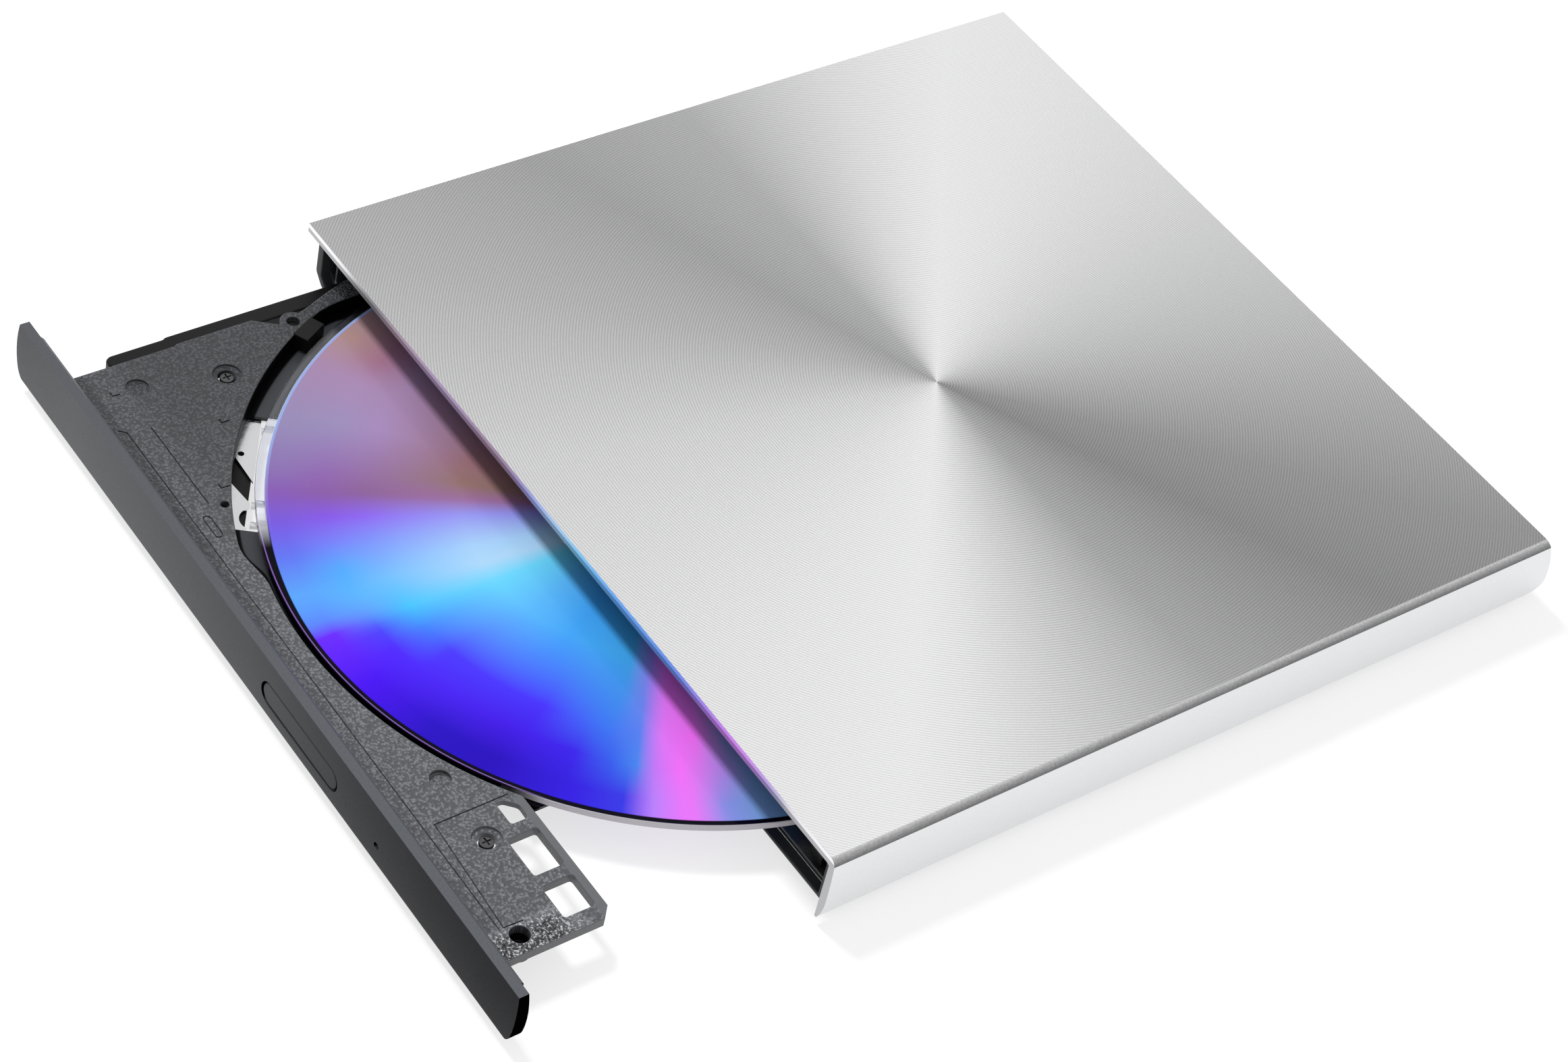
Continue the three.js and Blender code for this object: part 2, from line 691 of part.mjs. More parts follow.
// A lever with a boss at its pivot and a tooth at its far end, swung clear of the stud.
function latchLever() {
  const { halfWidth, tail, length, tooth, reach, slope } = LATCH_ARM;
  const arm = box(-halfWidth, halfWidth, -tail, length, LATCH.bottom, LATCH.top);
  const hook = upright(
    outline([
      [-reach, length - tooth],
      [0, length - tooth],
      [0, length],
      [-reach + slope, length],
    ]),
    LATCH.bottom,
    LATCH.top
  );
  const boss = post(0, 0, LATCH.boss, LATCH.bottom, LATCH.bossTop);
  const lever = join(arm, hook, boss).rotate([0, 0, -LATCH.released]);
  return lever.translate([LATCH.x, LATCH.y, 0]);
}

const SOLENOID = { left: 33.4, right: 41, front: -46.2, rear: -42.4, bottom: 3.0, top: 5.0 };
const SOLENOID_PLUNGER = { left: 32.1, front: -44.9, rear: -43.9, bottom: 3.2, top: 4.0 };

// The coil that frees the latch, with its plunger's end towards the lever.
function releaseSolenoid() {
  const { left, right, front, rear, bottom, top } = SOLENOID;
  const tip = SOLENOID_PLUNGER;
  return join(
    box(left, right, front, rear, bottom, top),
    box(tip.left, left + WELD, tip.front, tip.rear, tip.bottom, tip.top)
  );
}

// ---------------------------------------------------------------- spindle and disc

const TURNTABLE = { boss: 7.2, bossTop: 7.4, crown: 6.4, crownHeight: 0.5 };
const FLANGE = { radius: 15, thickness: 0.5, below: 0.25 }; // the disc rests just above it
const SHAFT = { radius: 1.1, bottom: 3.2 };
const FINGERS = { count: 3, halfWidth: 1.6, slit: 0.4, inner: 3.6 };

function turntable() {
  const { x, y, bottom } = DISC;
  const { boss, bossTop, crown, crownHeight } = TURNTABLE;
  const flangeTop = bottom - FLANGE.below;
  const shoulder = bossTop - crownHeight;
  const flange = post(x, y, FLANGE.radius, flangeTop - FLANGE.thickness, flangeTop, 48);
  const body = post(x, y, boss, flangeTop - WELD, shoulder, 48);
  const crownTop = post(x, y, crown, shoulder - WELD, bossTop, 48);
  const shaft = post(x, y, SHAFT.radius, SHAFT.bottom, flangeTop - FLANGE.thickness + WELD, 16);
  const slits = [];
  for (let i = 0; i < FINGERS.count; i += 1) {
    for (const side of [-FINGERS.halfWidth, FINGERS.halfWidth]) {
      const half = FINGERS.slit / 2;
      const slit = box(FINGERS.inner, boss + 1, side - half, side + half, bottom + GAP, bossTop + 1);
      slits.push(slit.rotate([0, 0, (360 / FINGERS.count) * i]).translate([x, y, 0]));
    }
  }
  return cut(join(flange, body, crownTop, shaft), ...slits);
}

function disc() {
  const { x, y, radius, bore, bottom, thickness, edge } = DISC;
  const top = bottom + thickness;
  const section = [
    [bore, bottom],
    [radius - edge, bottom],
    [radius, bottom + edge],
    [radius, top - edge],
    [radius - edge, top],
    [bore, top],
    [bore, bottom],
  ];
  const geometry = new THREE.LatheGeometry(section.map(([r, z]) => new THREE.Vector2(r, z)), ROUND);
  geometry.rotateX(Math.PI / 2);
  geometry.translate(x, y, 0);
  return solid(geometry);
}

const MOTOR = { radius: 10.5, top: 4.3, endPlate: 0.15 };

function spindleMotor() {
  const { x, y } = DISC;
  const stator = post(x, y, MOTOR.radius, MECH.bottom, MOTOR.top, 40);
  const bore = post(x, y, SHAFT.radius + GAP, MECH.bottom + MOTOR.endPlate, MOTOR.top + 1, 20);
  return cut(stator, bore);
}

// ---------------------------------------------------------------- pickup, on its own axes

const ROD = { radius: 0.55, z: 3.95, start: 13, end: 60 };
const ROD_LINES = { main_guide_rod: -9.0, second_guide_rod: 6.6 };
const LEAD = { line: 10.6, radius: 0.6, start: 20.3, end: 59.8 };
const STEPPER = { start: 12.6, end: 20, width: 2.6, height: 1.7 };
const SLED = { start: 30, end: 40.2, left: -10.6, right: 8.95, top: 4.85 };
const FOLLOWER = { start: 34, end: 36, bottom: 3.5, top: 4.4 }; // reaches from sled to lead screw
const LENS = { along: 37.6, radius: 1.8, bottom: 3.9, top: 5.1, wellBottom: 3.6 };

// A round bar along the pickup's way.
function bar(line, radius, start, end, segments = 12) {
  const geometry = new THREE.CylinderGeometry(radius, radius, end - start, segments);
  geometry.rotateZ(-Math.PI / 2);
  geometry.translate((start + end) / 2, line, ROD.z);
  return solid(geometry);
}

function pickupSled() {
  const { start, end, left, right, top } = SLED;
  const body = box(start, end, left, right, MECH.bottom + 0.05, top);
  const fingerTip = LEAD.line - LEAD.radius - GAP;
  const finger = box(
    FOLLOWER.start,
    FOLLOWER.end,
    right - WELD,
    fingerTip,
    FOLLOWER.bottom,
    FOLLOWER.top
  );
  const bores = Object.values(ROD_LINES).map((line) => bar(line, ROD.radius + GAP, 0, 80));
  const well = post(LENS.along, 0, LENS.radius + GAP, LENS.wellBottom, 6);
  return cut(join(body, finger), ...bores, well);
}

function lens() {
  return post(LENS.along, 0, LENS.radius, LENS.bottom, LENS.top, 32);
}

function stepperMotor() {
  return alongX(pill(LEAD.line, ROD.z, STEPPER.width, STEPPER.height), STEPPER.start, STEPPER.end, 6);
}

// The bright sheet under the bowl's floor, open along the pickup's way. A slanted slot cuts
// off its corner at the rim, which has a round hole of its own.
const COVER = {
  bottom: 3.45,
  top: 3.8,
  start: -20,
  end: 67,
  left: -24,
  right: 17,
  corner: 3,
  hub: 16.4,
};
const COVER_WAY = { start: -14, end: 60.2, left: -11.5, right: 12.2 }; // left open for the sled
const COVER_SLOT = [
  [65, -5.9],
  [65, 0.3],
  [57.5, 9.2],
  [57.3, 6.2],
];
const COVER_HOLE = { along: 59.2, across: 9, radius: 2.3 };
const COVER_PIN_HOLE = { along: 62.5, across: -4, radius: 0.5 };

function traverseCover() {
  const { bottom, top, start, end, left, right, corner, hub } = COVER;
  const sheet = upright(roundedRect(start, end, left, right, corner), bottom, top);
  const way = box(COVER_WAY.start, COVER_WAY.end, COVER_WAY.left, COVER_WAY.right, 0, 10);
  const slot = upright(outline(COVER_SLOT), 0, 10);
  const roundHole = post(COVER_HOLE.along, COVER_HOLE.across, COVER_HOLE.radius, 0, 10);
  const pinHole = post(COVER_PIN_HOLE.along, COVER_PIN_HOLE.across, COVER_PIN_HOLE.radius, 0, 10, 16);
  const spindleHole = post(0, 0, hub, 0, 10, 40);
  return onSledWay(cut(sheet, way, slot, roundHole, pinHole, spindleHole));
}

const BRACKET = { start: 60.5, end: 66.5, left: -13, right: 13, corner: 1, bottom: 3.0, top: 3.3 };

// The plate under the sheet's far end, beyond the tips of the rods.
function rodEndBracket() {
  const { start, end, left, right, corner, bottom, top } = BRACKET;
  return onSledWay(upright(roundedRect(start, end, left, right, corner), bottom, top, 4));
}

// ---------------------------------------------------------------- assembly

const casing = new THREE.Group();
const trayGroup = new THREE.Group();
const sledWay = new THREE.Group();
sledWay.position.set(DISC.x, DISC.y, 0);
sledWay.rotation.z = SLED_ANGLE;
trayGroup.add(sledWay);
drive.add(casing, trayGroup);

add(casing, 'top_cover', topCover(), SILVER);
add(casing, 'bottom_cover', bottomCover(), DARK_PLASTIC);
add(casing, 'mouth_frame', mouthFrame(), DARK_PLASTIC);
FEET.forEach(([x, y], i) => {
  add(casing, `foot_${FOOT_NAMES[i]}`, foot(x, y), RUBBER);
  add(casing, `case_screw_${FOOT_NAMES[i]}`, caseScrew(x, y), BRIGHT_STEEL);
});
add(casing, 'usb_socket_shell', usbShell(), BRIGHT_STEEL);
add(casing, 'usb_socket_tongue', usbTongue(), BLACK_PLASTIC);
add(casing, 'bridge_board', bridgeBoard(), BOARD_GREEN);
add(casing, 'bridge_chip', bridgeChip(), BLACK_PLASTIC);
add(casing, 'drive_connector', connectorBlock(0), BLACK_PLASTIC);
add(casing, 'drive_pan', drivePan(), PLATED_STEEL);
add(casing, 'main_board', mainBoard(), BOARD_GREEN);
add(casing, 'drive_shield', driveShield(), PLATED_STEEL);
add(casing, 'rail_guide_left', railGuide(LEFT_RAIL, 1), BLACK_PLASTIC);
add(casing, 'rail_guide_right', railGuide(RIGHT_RAIL, -1), BLACK_PLASTIC);
add(casing, 'slide_rail_left', leftRail(), BLACK_PLASTIC);
add(casing, 'slide_rail_right', rightRail(), BLACK_PLASTIC);

add(trayGroup, 'tray', tray(), DARK_PLASTIC);
TRAY_SCREWS.forEach((place) => add(trayGroup, place.name, trayScrew(place), BRIGHT_STEEL));
add(trayGroup, 'bezel', bezel(), DARK_PLASTIC);
add(trayGroup, 'eject_button', ejectButton(), DARK_PLASTIC);
add(trayGroup, 'eject_switch', ejectSwitch(), BLACK_PLASTIC);
add(trayGroup, 'latch_lever', latchLever(), PLATED_STEEL);
add(trayGroup, 'release_solenoid', releaseSolenoid(), BLACK_PLASTIC);
add(trayGroup, 'traverse_cover', traverseCover(), BRIGHT_STEEL);
add(trayGroup, 'rod_end_bracket', rodEndBracket(), BLACK_PLASTIC);
add(trayGroup, 'spindle_motor', spindleMotor(), PLATED_STEEL);
add(trayGroup, 'turntable', turntable(), BLACK_PLASTIC);
add(trayGroup, 'disc', disc(), DISC_MIRROR);

for (const [name, line] of Object.entries(ROD_LINES)) {
  add(sledWay, name, bar(line, ROD.radius, ROD.start, ROD.end), BRIGHT_STEEL);
}
add(sledWay, 'lead_screw', bar(LEAD.line, LEAD.radius, LEAD.start, LEAD.end, 16), BRIGHT_STEEL);
add(sledWay, 'stepper_motor', stepperMotor(), PLATED_STEEL);
add(sledWay, 'pickup_sled', pickupSled(), BLACK_PLASTIC);
add(sledWay, 'objective_lens', lens(), LENS_GLASS);

drive.position.y = ORIGIN_SHIFT;

export default drive;
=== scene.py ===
"""The looks of a slim external disc drive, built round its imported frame.

Lengths in the tables below are millimetres, in the casing's own axes: x to the right, y from
the cover's front lip towards the back, z up from the table. put() brings them to the frame.
"""

import json
import math

import bmesh
import bpy
from mathutils import Matrix, Vector


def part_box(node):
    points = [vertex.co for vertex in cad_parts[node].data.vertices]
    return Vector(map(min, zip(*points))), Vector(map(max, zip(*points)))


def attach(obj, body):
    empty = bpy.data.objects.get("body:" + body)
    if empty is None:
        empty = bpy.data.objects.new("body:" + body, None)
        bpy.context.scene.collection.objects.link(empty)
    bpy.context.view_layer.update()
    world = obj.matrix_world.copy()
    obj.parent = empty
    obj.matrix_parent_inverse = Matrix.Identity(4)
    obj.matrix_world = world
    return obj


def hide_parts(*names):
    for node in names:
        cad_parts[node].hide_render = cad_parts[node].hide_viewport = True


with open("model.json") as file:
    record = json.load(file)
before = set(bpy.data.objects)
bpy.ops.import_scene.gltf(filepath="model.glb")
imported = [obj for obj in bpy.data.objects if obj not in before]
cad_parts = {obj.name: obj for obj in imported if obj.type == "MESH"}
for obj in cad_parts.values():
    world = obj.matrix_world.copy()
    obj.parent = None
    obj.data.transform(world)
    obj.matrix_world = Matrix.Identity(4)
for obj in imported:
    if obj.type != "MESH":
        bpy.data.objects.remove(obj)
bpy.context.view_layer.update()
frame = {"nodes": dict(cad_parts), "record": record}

MM = 0.001
COVER_LOW, COVER_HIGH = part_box("top_cover")
FRONT_Y = COVER_LOW.y
LID_TOP = COVER_HIGH.z / MM


def casing_mm(point):
    """A point of the frame, in metres, as casing millimetres."""
    return point.x / MM, (point.y - FRONT_Y) / MM, point.z / MM


def box_mm(node):
    low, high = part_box(node)
    return casing_mm(low), casing_mm(high)


def centre_mm(node):
    low, high = box_mm(node)
    return tuple((a + b) / 2 for a, b in zip(low, high))


DISC_X, DISC_Y, _ = centre_mm("disc")
DISC_RADIUS = (box_mm("disc")[1][0] - box_mm("disc")[0][0]) / 2
DISC_BOTTOM = box_mm("disc")[0][2]
DISC_TOP = box_mm("disc")[1][2]
DISC_BORE = 7.5
TRAY_TOP = 7.0
TRAY_REAR = 80.0


# ------------------------------------------------------------------ camera, lights and floor

WORLD_STRENGTH = 0.85
KEY_LIGHT = {"place": (-0.5, -0.12, 0.9), "size": (0.2, 0.2), "power": 11.0}  # metres and watts
TABLE_HALF = 3.0  # metres
CAMERA = {"azimuth": 44.451, "elevation": 44.401, "roll": 14.498, "lens": 83.09}
CAMERA_MM = (280.342, -239.753, 383.558)


def add_camera():
    """The camera stands in front of the tray and to its right, and leans to one side."""
    azimuth, elevation, roll = (math.radians(CAMERA[k]) for k in ("azimuth", "elevation", "roll"))
    back = Vector(
        (
            math.sin(azimuth) * math.cos(elevation),
            -math.cos(azimuth) * math.cos(elevation),
            math.sin(elevation),
        )
    )
    level = Vector((0, 0, 1)).cross(back).normalized()
    upright = back.cross(level)
    right = level * math.cos(roll) + upright * math.sin(roll)
    up = upright * math.cos(roll) - level * math.sin(roll)
    data = bpy.data.cameras.new("camera")
    data.lens = CAMERA["lens"]
    data.sensor_width = 36
    data.clip_start = 0.01
    data.clip_end = 20
    camera = bpy.data.objects.new("camera", data)
    turn = Matrix((right, up, back)).transposed().to_4x4()
    camera.matrix_world = Matrix.Translation(put(CAMERA_MM)) @ turn
    bpy.context.collection.objects.link(camera)
    bpy.context.scene.camera = camera


def put(point):
    """A point in casing millimetres, in the frame's metres."""
    x, y, z = point
    return Vector((x * MM, y * MM + FRONT_Y, z * MM))


def area_light(name, place, target, size, power):
    """A soft light that shades matt surfaces, and doesn't show in glossy ones."""
    data = bpy.data.lights.new(name, "AREA")
    data.shape = "RECTANGLE"
    data.size, data.size_y = size
    data.energy = power
    light = bpy.data.objects.new(name, data)
    light.location = place
    light.rotation_mode = "QUATERNION"
    light.rotation_quaternion = (Vector(target) - Vector(place)).to_track_quat("-Z", "Y")
    light.visible_camera = False
    light.visible_glossy = False
    bpy.context.collection.objects.link(light)


def add_lights():
    world = bpy.data.worlds.new("studio")
    world.use_nodes = True
    bpy.context.scene.world = world
    background = world.node_tree.nodes["Background"]
    background.inputs["Color"].default_value = (1.0, 1.0, 1.0, 1.0)
    background.inputs["Strength"].default_value = WORLD_STRENGTH
    area_light("key", KEY_LIGHT["place"], (0, 0, 0), KEY_LIGHT["size"], KEY_LIGHT["power"])
    bpy.context.scene.view_settings.view_transform = "Standard"


# ------------------------------------------------------------------ outlines, in millimetres


def arc(x, y, radius, start, end, steps=12):
    """Points on an arc, from one angle to another, in degrees."""
    angles = [math.radians(start + (end - start) * i / steps) for i in range(steps + 1)]
    return [(x + radius * math.cos(a), y + radius * math.sin(a)) for a in angles]


def circle(x, y, radius, steps=48):
    return arc(x, y, radius, 0, 360, steps)[:-1]


def pill(x, y, length, height, steps=16):
    """A bar with half-round ends."""
    reach = (length - height) / 2
    right_end = arc(x + reach, y, height / 2, -90, 90, steps)
    left_end = arc(x - reach, y, height / 2, 90, 270, steps)
    return right_end + left_end


def rounded(points, radius, steps=4):
    """The outline with each corner rounded off by an arc-like curve."""
    out = []
    for i, corner in enumerate(points):
        here = Vector(corner)
        before = Vector(points[i - 1]) - here
        after = Vector(points[(i + 1) % len(points)]) - here
        reach = min(radius, before.length * 0.45, after.length * 0.45)
        start = here + before.normalized() * reach
        end = here + after.normalized() * reach
        for k in range(steps + 1):
            t = k / steps
            point = start * (1 - t) ** 2 + here * 2 * t * (1 - t) + end * t**2
            out.append((point.x, point.y))
    return out


def curve_through(start, control, end, steps=10):
    """A parabola from start to end, drawn towards control, without its first point."""
    points = []
    for k in range(1, steps + 1):
        t = k / steps
        p = Vector(start) * (1 - t) ** 2 + Vector(control) * 2 * t * (1 - t) + Vector(end) * t**2
        points.append((p.x, p.y))
    return points


def turned(points, anticlockwise):
    """The same outline, wound the way asked."""
    area = sum(a[0] * b[1] - b[0] * a[1] for a, b in zip(points, points[1:] + points[:1]))
    return points if (area > 0) == anticlockwise else points[::-1]


# ------------------------------------------------------------------ mesh makers


def mesh_object(name, mesh, sharp_degrees=35):
    """An object of that mesh, smooth but for its sharp edges."""
    work = bmesh.new()
    work.from_mesh(mesh)
    bmesh.ops.remove_doubles(work, verts=work.verts, dist=1e-7)
    bmesh.ops.recalc_face_normals(work, faces=work.faces)
    work.to_mesh(mesh)
    work.free()
    mesh.shade_smooth()
    mesh.set_sharp_from_angle(angle=math.radians(sharp_degrees))
    obj = bpy.data.objects.new(name, mesh)
    bpy.context.collection.objects.link(obj)
    return obj


def flatten(mesh):
    """Level faces are shaded flat, whatever rounded edges they meet."""
    for face in mesh.polygons:
        if abs(face.normal.z) > 0.9999:
            face.use_smooth = False


def even_shading(obj):
    """Keeps large flat faces flat beside their rounded edges."""
    modifier = obj.modifiers.new("even_shading", "WEIGHTED_NORMAL")
    modifier.keep_sharp = True
    modifier.weight = 80


def plate(name, outer, holes, low, high, rounding, steps=3, lie=None):
    """A plate with rounded edges, between two levels of its third axis.

    It lies flat in x and y, unless lie is "upright": then its outline is in x and z, and its
    levels are along y.
    """
    curve = bpy.data.curves.new(name, "CURVE")
    curve.dimensions = "2D"
    curve.fill_mode = "BOTH"
    outlines = [turned(outer, True)] + [turned(hole, False) for hole in holes]
    for points in outlines:
        spline = curve.splines.new("POLY")
        spline.points.add(len(points) - 1)
        for point, (a, b) in zip(spline.points, points):
            point.co = (a * MM, b * MM, 0, 1)
        spline.use_cyclic_u = True
    curve.extrude = ((high - low) / 2 - rounding) * MM
    curve.bevel_depth = rounding * MM
    curve.bevel_resolution = steps
    curve.offset = -rounding * MM
    maker = bpy.data.objects.new(name, curve)
    bpy.context.collection.objects.link(maker)
    graph = bpy.context.evaluated_depsgraph_get()
    mesh = bpy.data.meshes.new_from_object(maker.evaluated_get(graph))
    bpy.data.objects.remove(maker)
    middle = (low + high) / 2
    if lie == "upright":
        mesh.transform(Matrix.Rotation(math.pi / 2, 4, "X"))
        mesh.transform(Matrix.Translation(put((0, middle, 0))))
    else:
        mesh.transform(Matrix.Translation(put((0, 0, middle))))
    obj = mesh_object(name, mesh)
    flatten(obj.data)
    even_shading(obj)
    return obj


def loft(name, sections):
    """A closed solid through loops of points, each loop in casing millimetres."""
    count = len(sections[0])
    verts = [put(p) for section in sections for p in section]
    faces = [tuple(range(count)), tuple(range(len(verts) - count, len(verts)))]
    for ring in range(len(sections) - 1):
        low = ring * count
        for i in range(count):
            j = (i + 1) % count
            faces.append((low + i, low + j, low + count + j, low + count + i))
    mesh = bpy.data.meshes.new(name)
    mesh.from_pydata(verts, [], faces)
    return mesh_object(name, mesh)


def upright_prism(name, outline, levels):
    """The outline in x and y, from one height to another."""
    return loft(name, [[(x, y, z) for x, y in outline] for z in levels])


def deep_prism(name, outline, depths):
    """The outline in x and z, from one place in y to another."""
    return loft(name, [[(x, y, z) for x, z in outline] for y in depths])


def block(name, x0, x1, y0, y1, z0, z1):
    return loft(name, [[(x, y0, z0), (x, y1, z0), (x, y1, z1), (x, y0, z1)] for x in (x0, x1)])


def lathe(name, x, y, profile, steps=128, start=0.0, end=360.0):
    """A closed profile of (radius, z) turned about an upright axis, all round or part way."""
    whole = end - start >= 360
    turns = steps if whole else steps + 1
    verts = []
    for i in range(turns):
        a = math.radians(start + (end - start) * i / steps)
        verts += [put((x + r * math.cos(a), y + r * math.sin(a), z)) for r, z in profile]
    count = len(profile)
    faces = []
    for i in range(steps):
        here = i * count
        there = ((i + 1) % turns) * count
        for k in range(count):
            m = (k + 1) % count
            faces.append((here + k, there + k, there + m, here + m))
    if not whole:
        faces.append(tuple(range(count)))
        faces.append(tuple(range(len(verts) - count, len(verts))))
    mesh = bpy.data.meshes.new(name)
    mesh.from_pydata(verts, [], faces)
    return mesh_object(name, mesh)


def bake(obj, sharp_degrees):
    """Turns the object's modifiers into its mesh."""
    graph = bpy.context.evaluated_depsgraph_get()
    mesh = bpy.data.meshes.new_from_object(obj.evaluated_get(graph))
    obj.modifiers.clear()
    obj.data = mesh
    mesh.shade_smooth()
    mesh.set_sharp_from_angle(angle=math.radians(sharp_degrees))


def carve(obj, cutters, operation="DIFFERENCE"):
    """Cuts the cutters out of obj, or joins them to it, and removes them."""
    for cutter in cutters:
        modifier = obj.modifiers.new("carve", "BOOLEAN")
        modifier.operation = operation
        modifier.solver = "EXACT"
        modifier.object = cutter
    bake(obj, 35)
    for cutter in cutters:
        bpy.data.objects.remove(cutter)


def soften(obj, width, segments=3, degrees=35):
    """Rounds off the edges sharper than that."""
    modifier = obj.modifiers.new("soften", "BEVEL")
    modifier.width = width * MM
    modifier.segments = segments
    modifier.limit_method = "ANGLE"
    modifier.angle_limit = math.radians(degrees)
    modifier.harden_normals = False
    modifier.use_clamp_overlap = True
    bake(obj, 50)
    even_shading(obj)


def finish_piece(obj, body, slot, material, *nodes):
    """Dresses a piece, and says what it rides on and which CAD nodes it stands for."""
    obj.data.materials.clear()
    obj.data.materials.append(material)
    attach(obj, body)
    if nodes:
        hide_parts(*nodes)
    return obj


# ------------------------------------------------------------------ node graphs


def srgb(*values):
    """A display colour, 0 to 255, as the linear colour that nodes take."""
    linear = [
        v / 255 / 12.92 if v / 255 <= 0.04045 else ((v / 255 + 0.055) / 1.055) ** 2.4 for v in values
    ]
    return (*linear, 1.0)


class Graph:
    """A material under construction."""

    def __init__(self, name, color, roughness, metallic=0.0):
        self.material = bpy.data.materials.new(name)
        self.material.use_nodes = True
        self.tree = self.material.node_tree
        self.shader = self.tree.nodes["Principled BSDF"]
        self.shader.inputs["Base Color"].default_value = color
        self.shader.inputs["Roughness"].default_value = roughness
        self.shader.inputs["Metallic"].default_value = metallic
        self.coordinates = None

    def node(self, kind, **settings):
        made = self.tree.nodes.new(kind)
        for key, value in settings.items():
            setattr(made, key, value)
        return made

    def feed(self, socket, value):
        if isinstance(value, bpy.types.NodeSocket):
            self.tree.links.new(value, socket)
        elif socket.type == "VECTOR":
            socket.default_value = value[:3]
        else:
            socket.default_value = value

    def set(self, name, value):
        self.feed(self.shader.inputs[name], value)

    def position(self):
        """The piece's own coordinates, in metres, which move with it."""
        if self.coordinates is None:
            self.coordinates = self.node("ShaderNodeTexCoord").outputs["Object"]
        return self.coordinates

    def millimetres(self, origin=(0, 0, 0)):
        """Casing millimetres, counted from a point."""
        shifted = self.node("ShaderNodeVectorMath", operation="SUBTRACT")
        self.feed(shifted.inputs[0], self.position())
        shifted.inputs[1].default_value = put(origin)
        scaled = self.node("ShaderNodeVectorMath", operation="SCALE")
        self.feed(scaled.inputs[0], shifted.outputs[0])
        scaled.inputs["Scale"].default_value = 1 / MM
        return scaled.outputs[0]

    def split(self, vector):
        made = self.node("ShaderNodeSeparateXYZ")
        self.feed(made.inputs[0], vector)
        return made.outputs

    def math(self, operation, a, b=0.0, clamp=False):
        made = self.node("ShaderNodeMath", operation=operation, use_clamp=clamp)
        self.feed(made.inputs[0], a)
        self.feed(made.inputs[1], b)
        return made.outputs[0]

    def band(self, value, low, high, to_low=0.0, to_high=1.0, smooth=True):
        """value from low to high, as to_low to to_high, and no further."""
        made = self.node("ShaderNodeMapRange", interpolation_type="SMOOTHSTEP" if smooth else "LINEAR")
        self.feed(made.inputs["Value"], value)
        made.inputs["From Min"].default_value = low
        made.inputs["From Max"].default_value = high
        made.inputs["To Min"].default_value = to_low
        made.inputs["To Max"].default_value = to_high
        return made.outputs["Result"]

    def mix(self, factor, a, b, blend="MIX"):
        made = self.node("ShaderNodeMix", data_type="RGBA", blend_type=blend)
        self.feed(made.inputs[0], factor)
        self.feed(made.inputs[6], a)
        self.feed(made.inputs[7], b)
        return made.outputs[2]

    def ramp(self, factor, stops):
        made = self.node("ShaderNodeValToRGB")
        elements = made.color_ramp.elements
        while len(elements) < len(stops):
            elements.new(1.0)
        for element, (place, color) in zip(elements, stops):
            element.position = place
            element.color = color
        self.feed(made.inputs[0], factor)
        return made.outputs[0]

    def noise(self, scale, detail=2.0, vector=None, roughness=0.5):
        """Noise between 0 and 1, with that many features in a metre."""
        made = self.node("ShaderNodeTexNoise")
        self.feed(made.inputs["Vector"], vector or self.position())
        made.inputs["Scale"].default_value = scale
        made.inputs["Detail"].default_value = detail
        made.inputs["Roughness"].default_value = roughness
        return made.outputs["Fac"]

    def pebbles(self, scale, smoothness=0.6):
        """Rounded grain, with that many grains in a metre."""
        made = self.node("ShaderNodeTexVoronoi", feature="SMOOTH_F1")
        self.feed(made.inputs["Vector"], self.position())
        made.inputs["Scale"].default_value = scale
        made.inputs["Smoothness"].default_value = smoothness
        return made.outputs["Distance"]

    def bump(self, height, millimetres, strength=1.0, under=None):
        made = self.node("ShaderNodeBump")
        made.inputs["Strength"].default_value = strength
        made.inputs["Distance"].default_value = millimetres * MM
        self.feed(made.inputs["Height"], height)
        if under is not None:
            self.feed(made.inputs["Normal"], under)
        self.set("Normal", made.outputs[0])
        return made.outputs[0]

    def polar(self, x, y):
        """Radius in millimetres and turn from 0 to 1, about an upright axis."""
        parts = self.split(self.millimetres((x, y, 0)))
        flat = self.node("ShaderNodeCombineXYZ")
        self.feed(flat.inputs[0], parts[0])
        self.feed(flat.inputs[1], parts[1])
        length = self.node("ShaderNodeVectorMath", operation="LENGTH")
        self.feed(length.inputs[0], flat.outputs[0])
        angle = self.math("ARCTAN2", parts[1], parts[0])
        turn = self.math("FRACT", self.math("DIVIDE", angle, 2 * math.pi))
        return length.outputs["Value"], turn

    def facing(self, axis):
        """How far the surface faces along X, Y or Z, before any bump."""
        normal = self.split(self.node("ShaderNodeNewGeometry").outputs["Normal"])
        return normal["XYZ".index(axis)]

    def scaled(self, color, gain):
        made = self.node("ShaderNodeVectorMath", operation="SCALE")
        self.feed(made.inputs[0], color)
        self.feed(made.inputs["Scale"], gain)
        return made.outputs[0]

    def brighten(self, color, factor, low, high):
        """color times a value between low and high, as factor goes from 0 to 1."""
        return self.scaled(color, self.band(factor, 0.0, 1.0, low, high, smooth=False))


# ------------------------------------------------------------------ materials

SPUN_CENTRE = (0.0, 70.3)
GROOVE_PITCH = 0.45

# How bright the spun top's painted reflection looks round its centre: angle in degrees, and display
# grey.
SPUN_REFLECTION_TONES = [
    (0, 166), (28, 138), (45, 148), (75, 184), (110, 214), (142, 234),
    (158, 216), (180, 174), (203, 161), (228, 178), (260, 207), (300, 226),
    (320, 236), (338, 208), (360, 166),
]
FOLD_FROM = (66.0, 67.0)  # the fold's own tones set in between these places in x
LIP_HIGHLIGHT_FROM = 13.15  # the lip's front is painted darker below and has a painted highlight above this height
# Painted shade across the rounded fold, by how far it faces up: display greys from where it meets the
# wall to where it meets the top.
FOLD_SHADE_TONES = [(0.2, 104), (0.5, 138), (0.8, 176), (0.97, 214)]


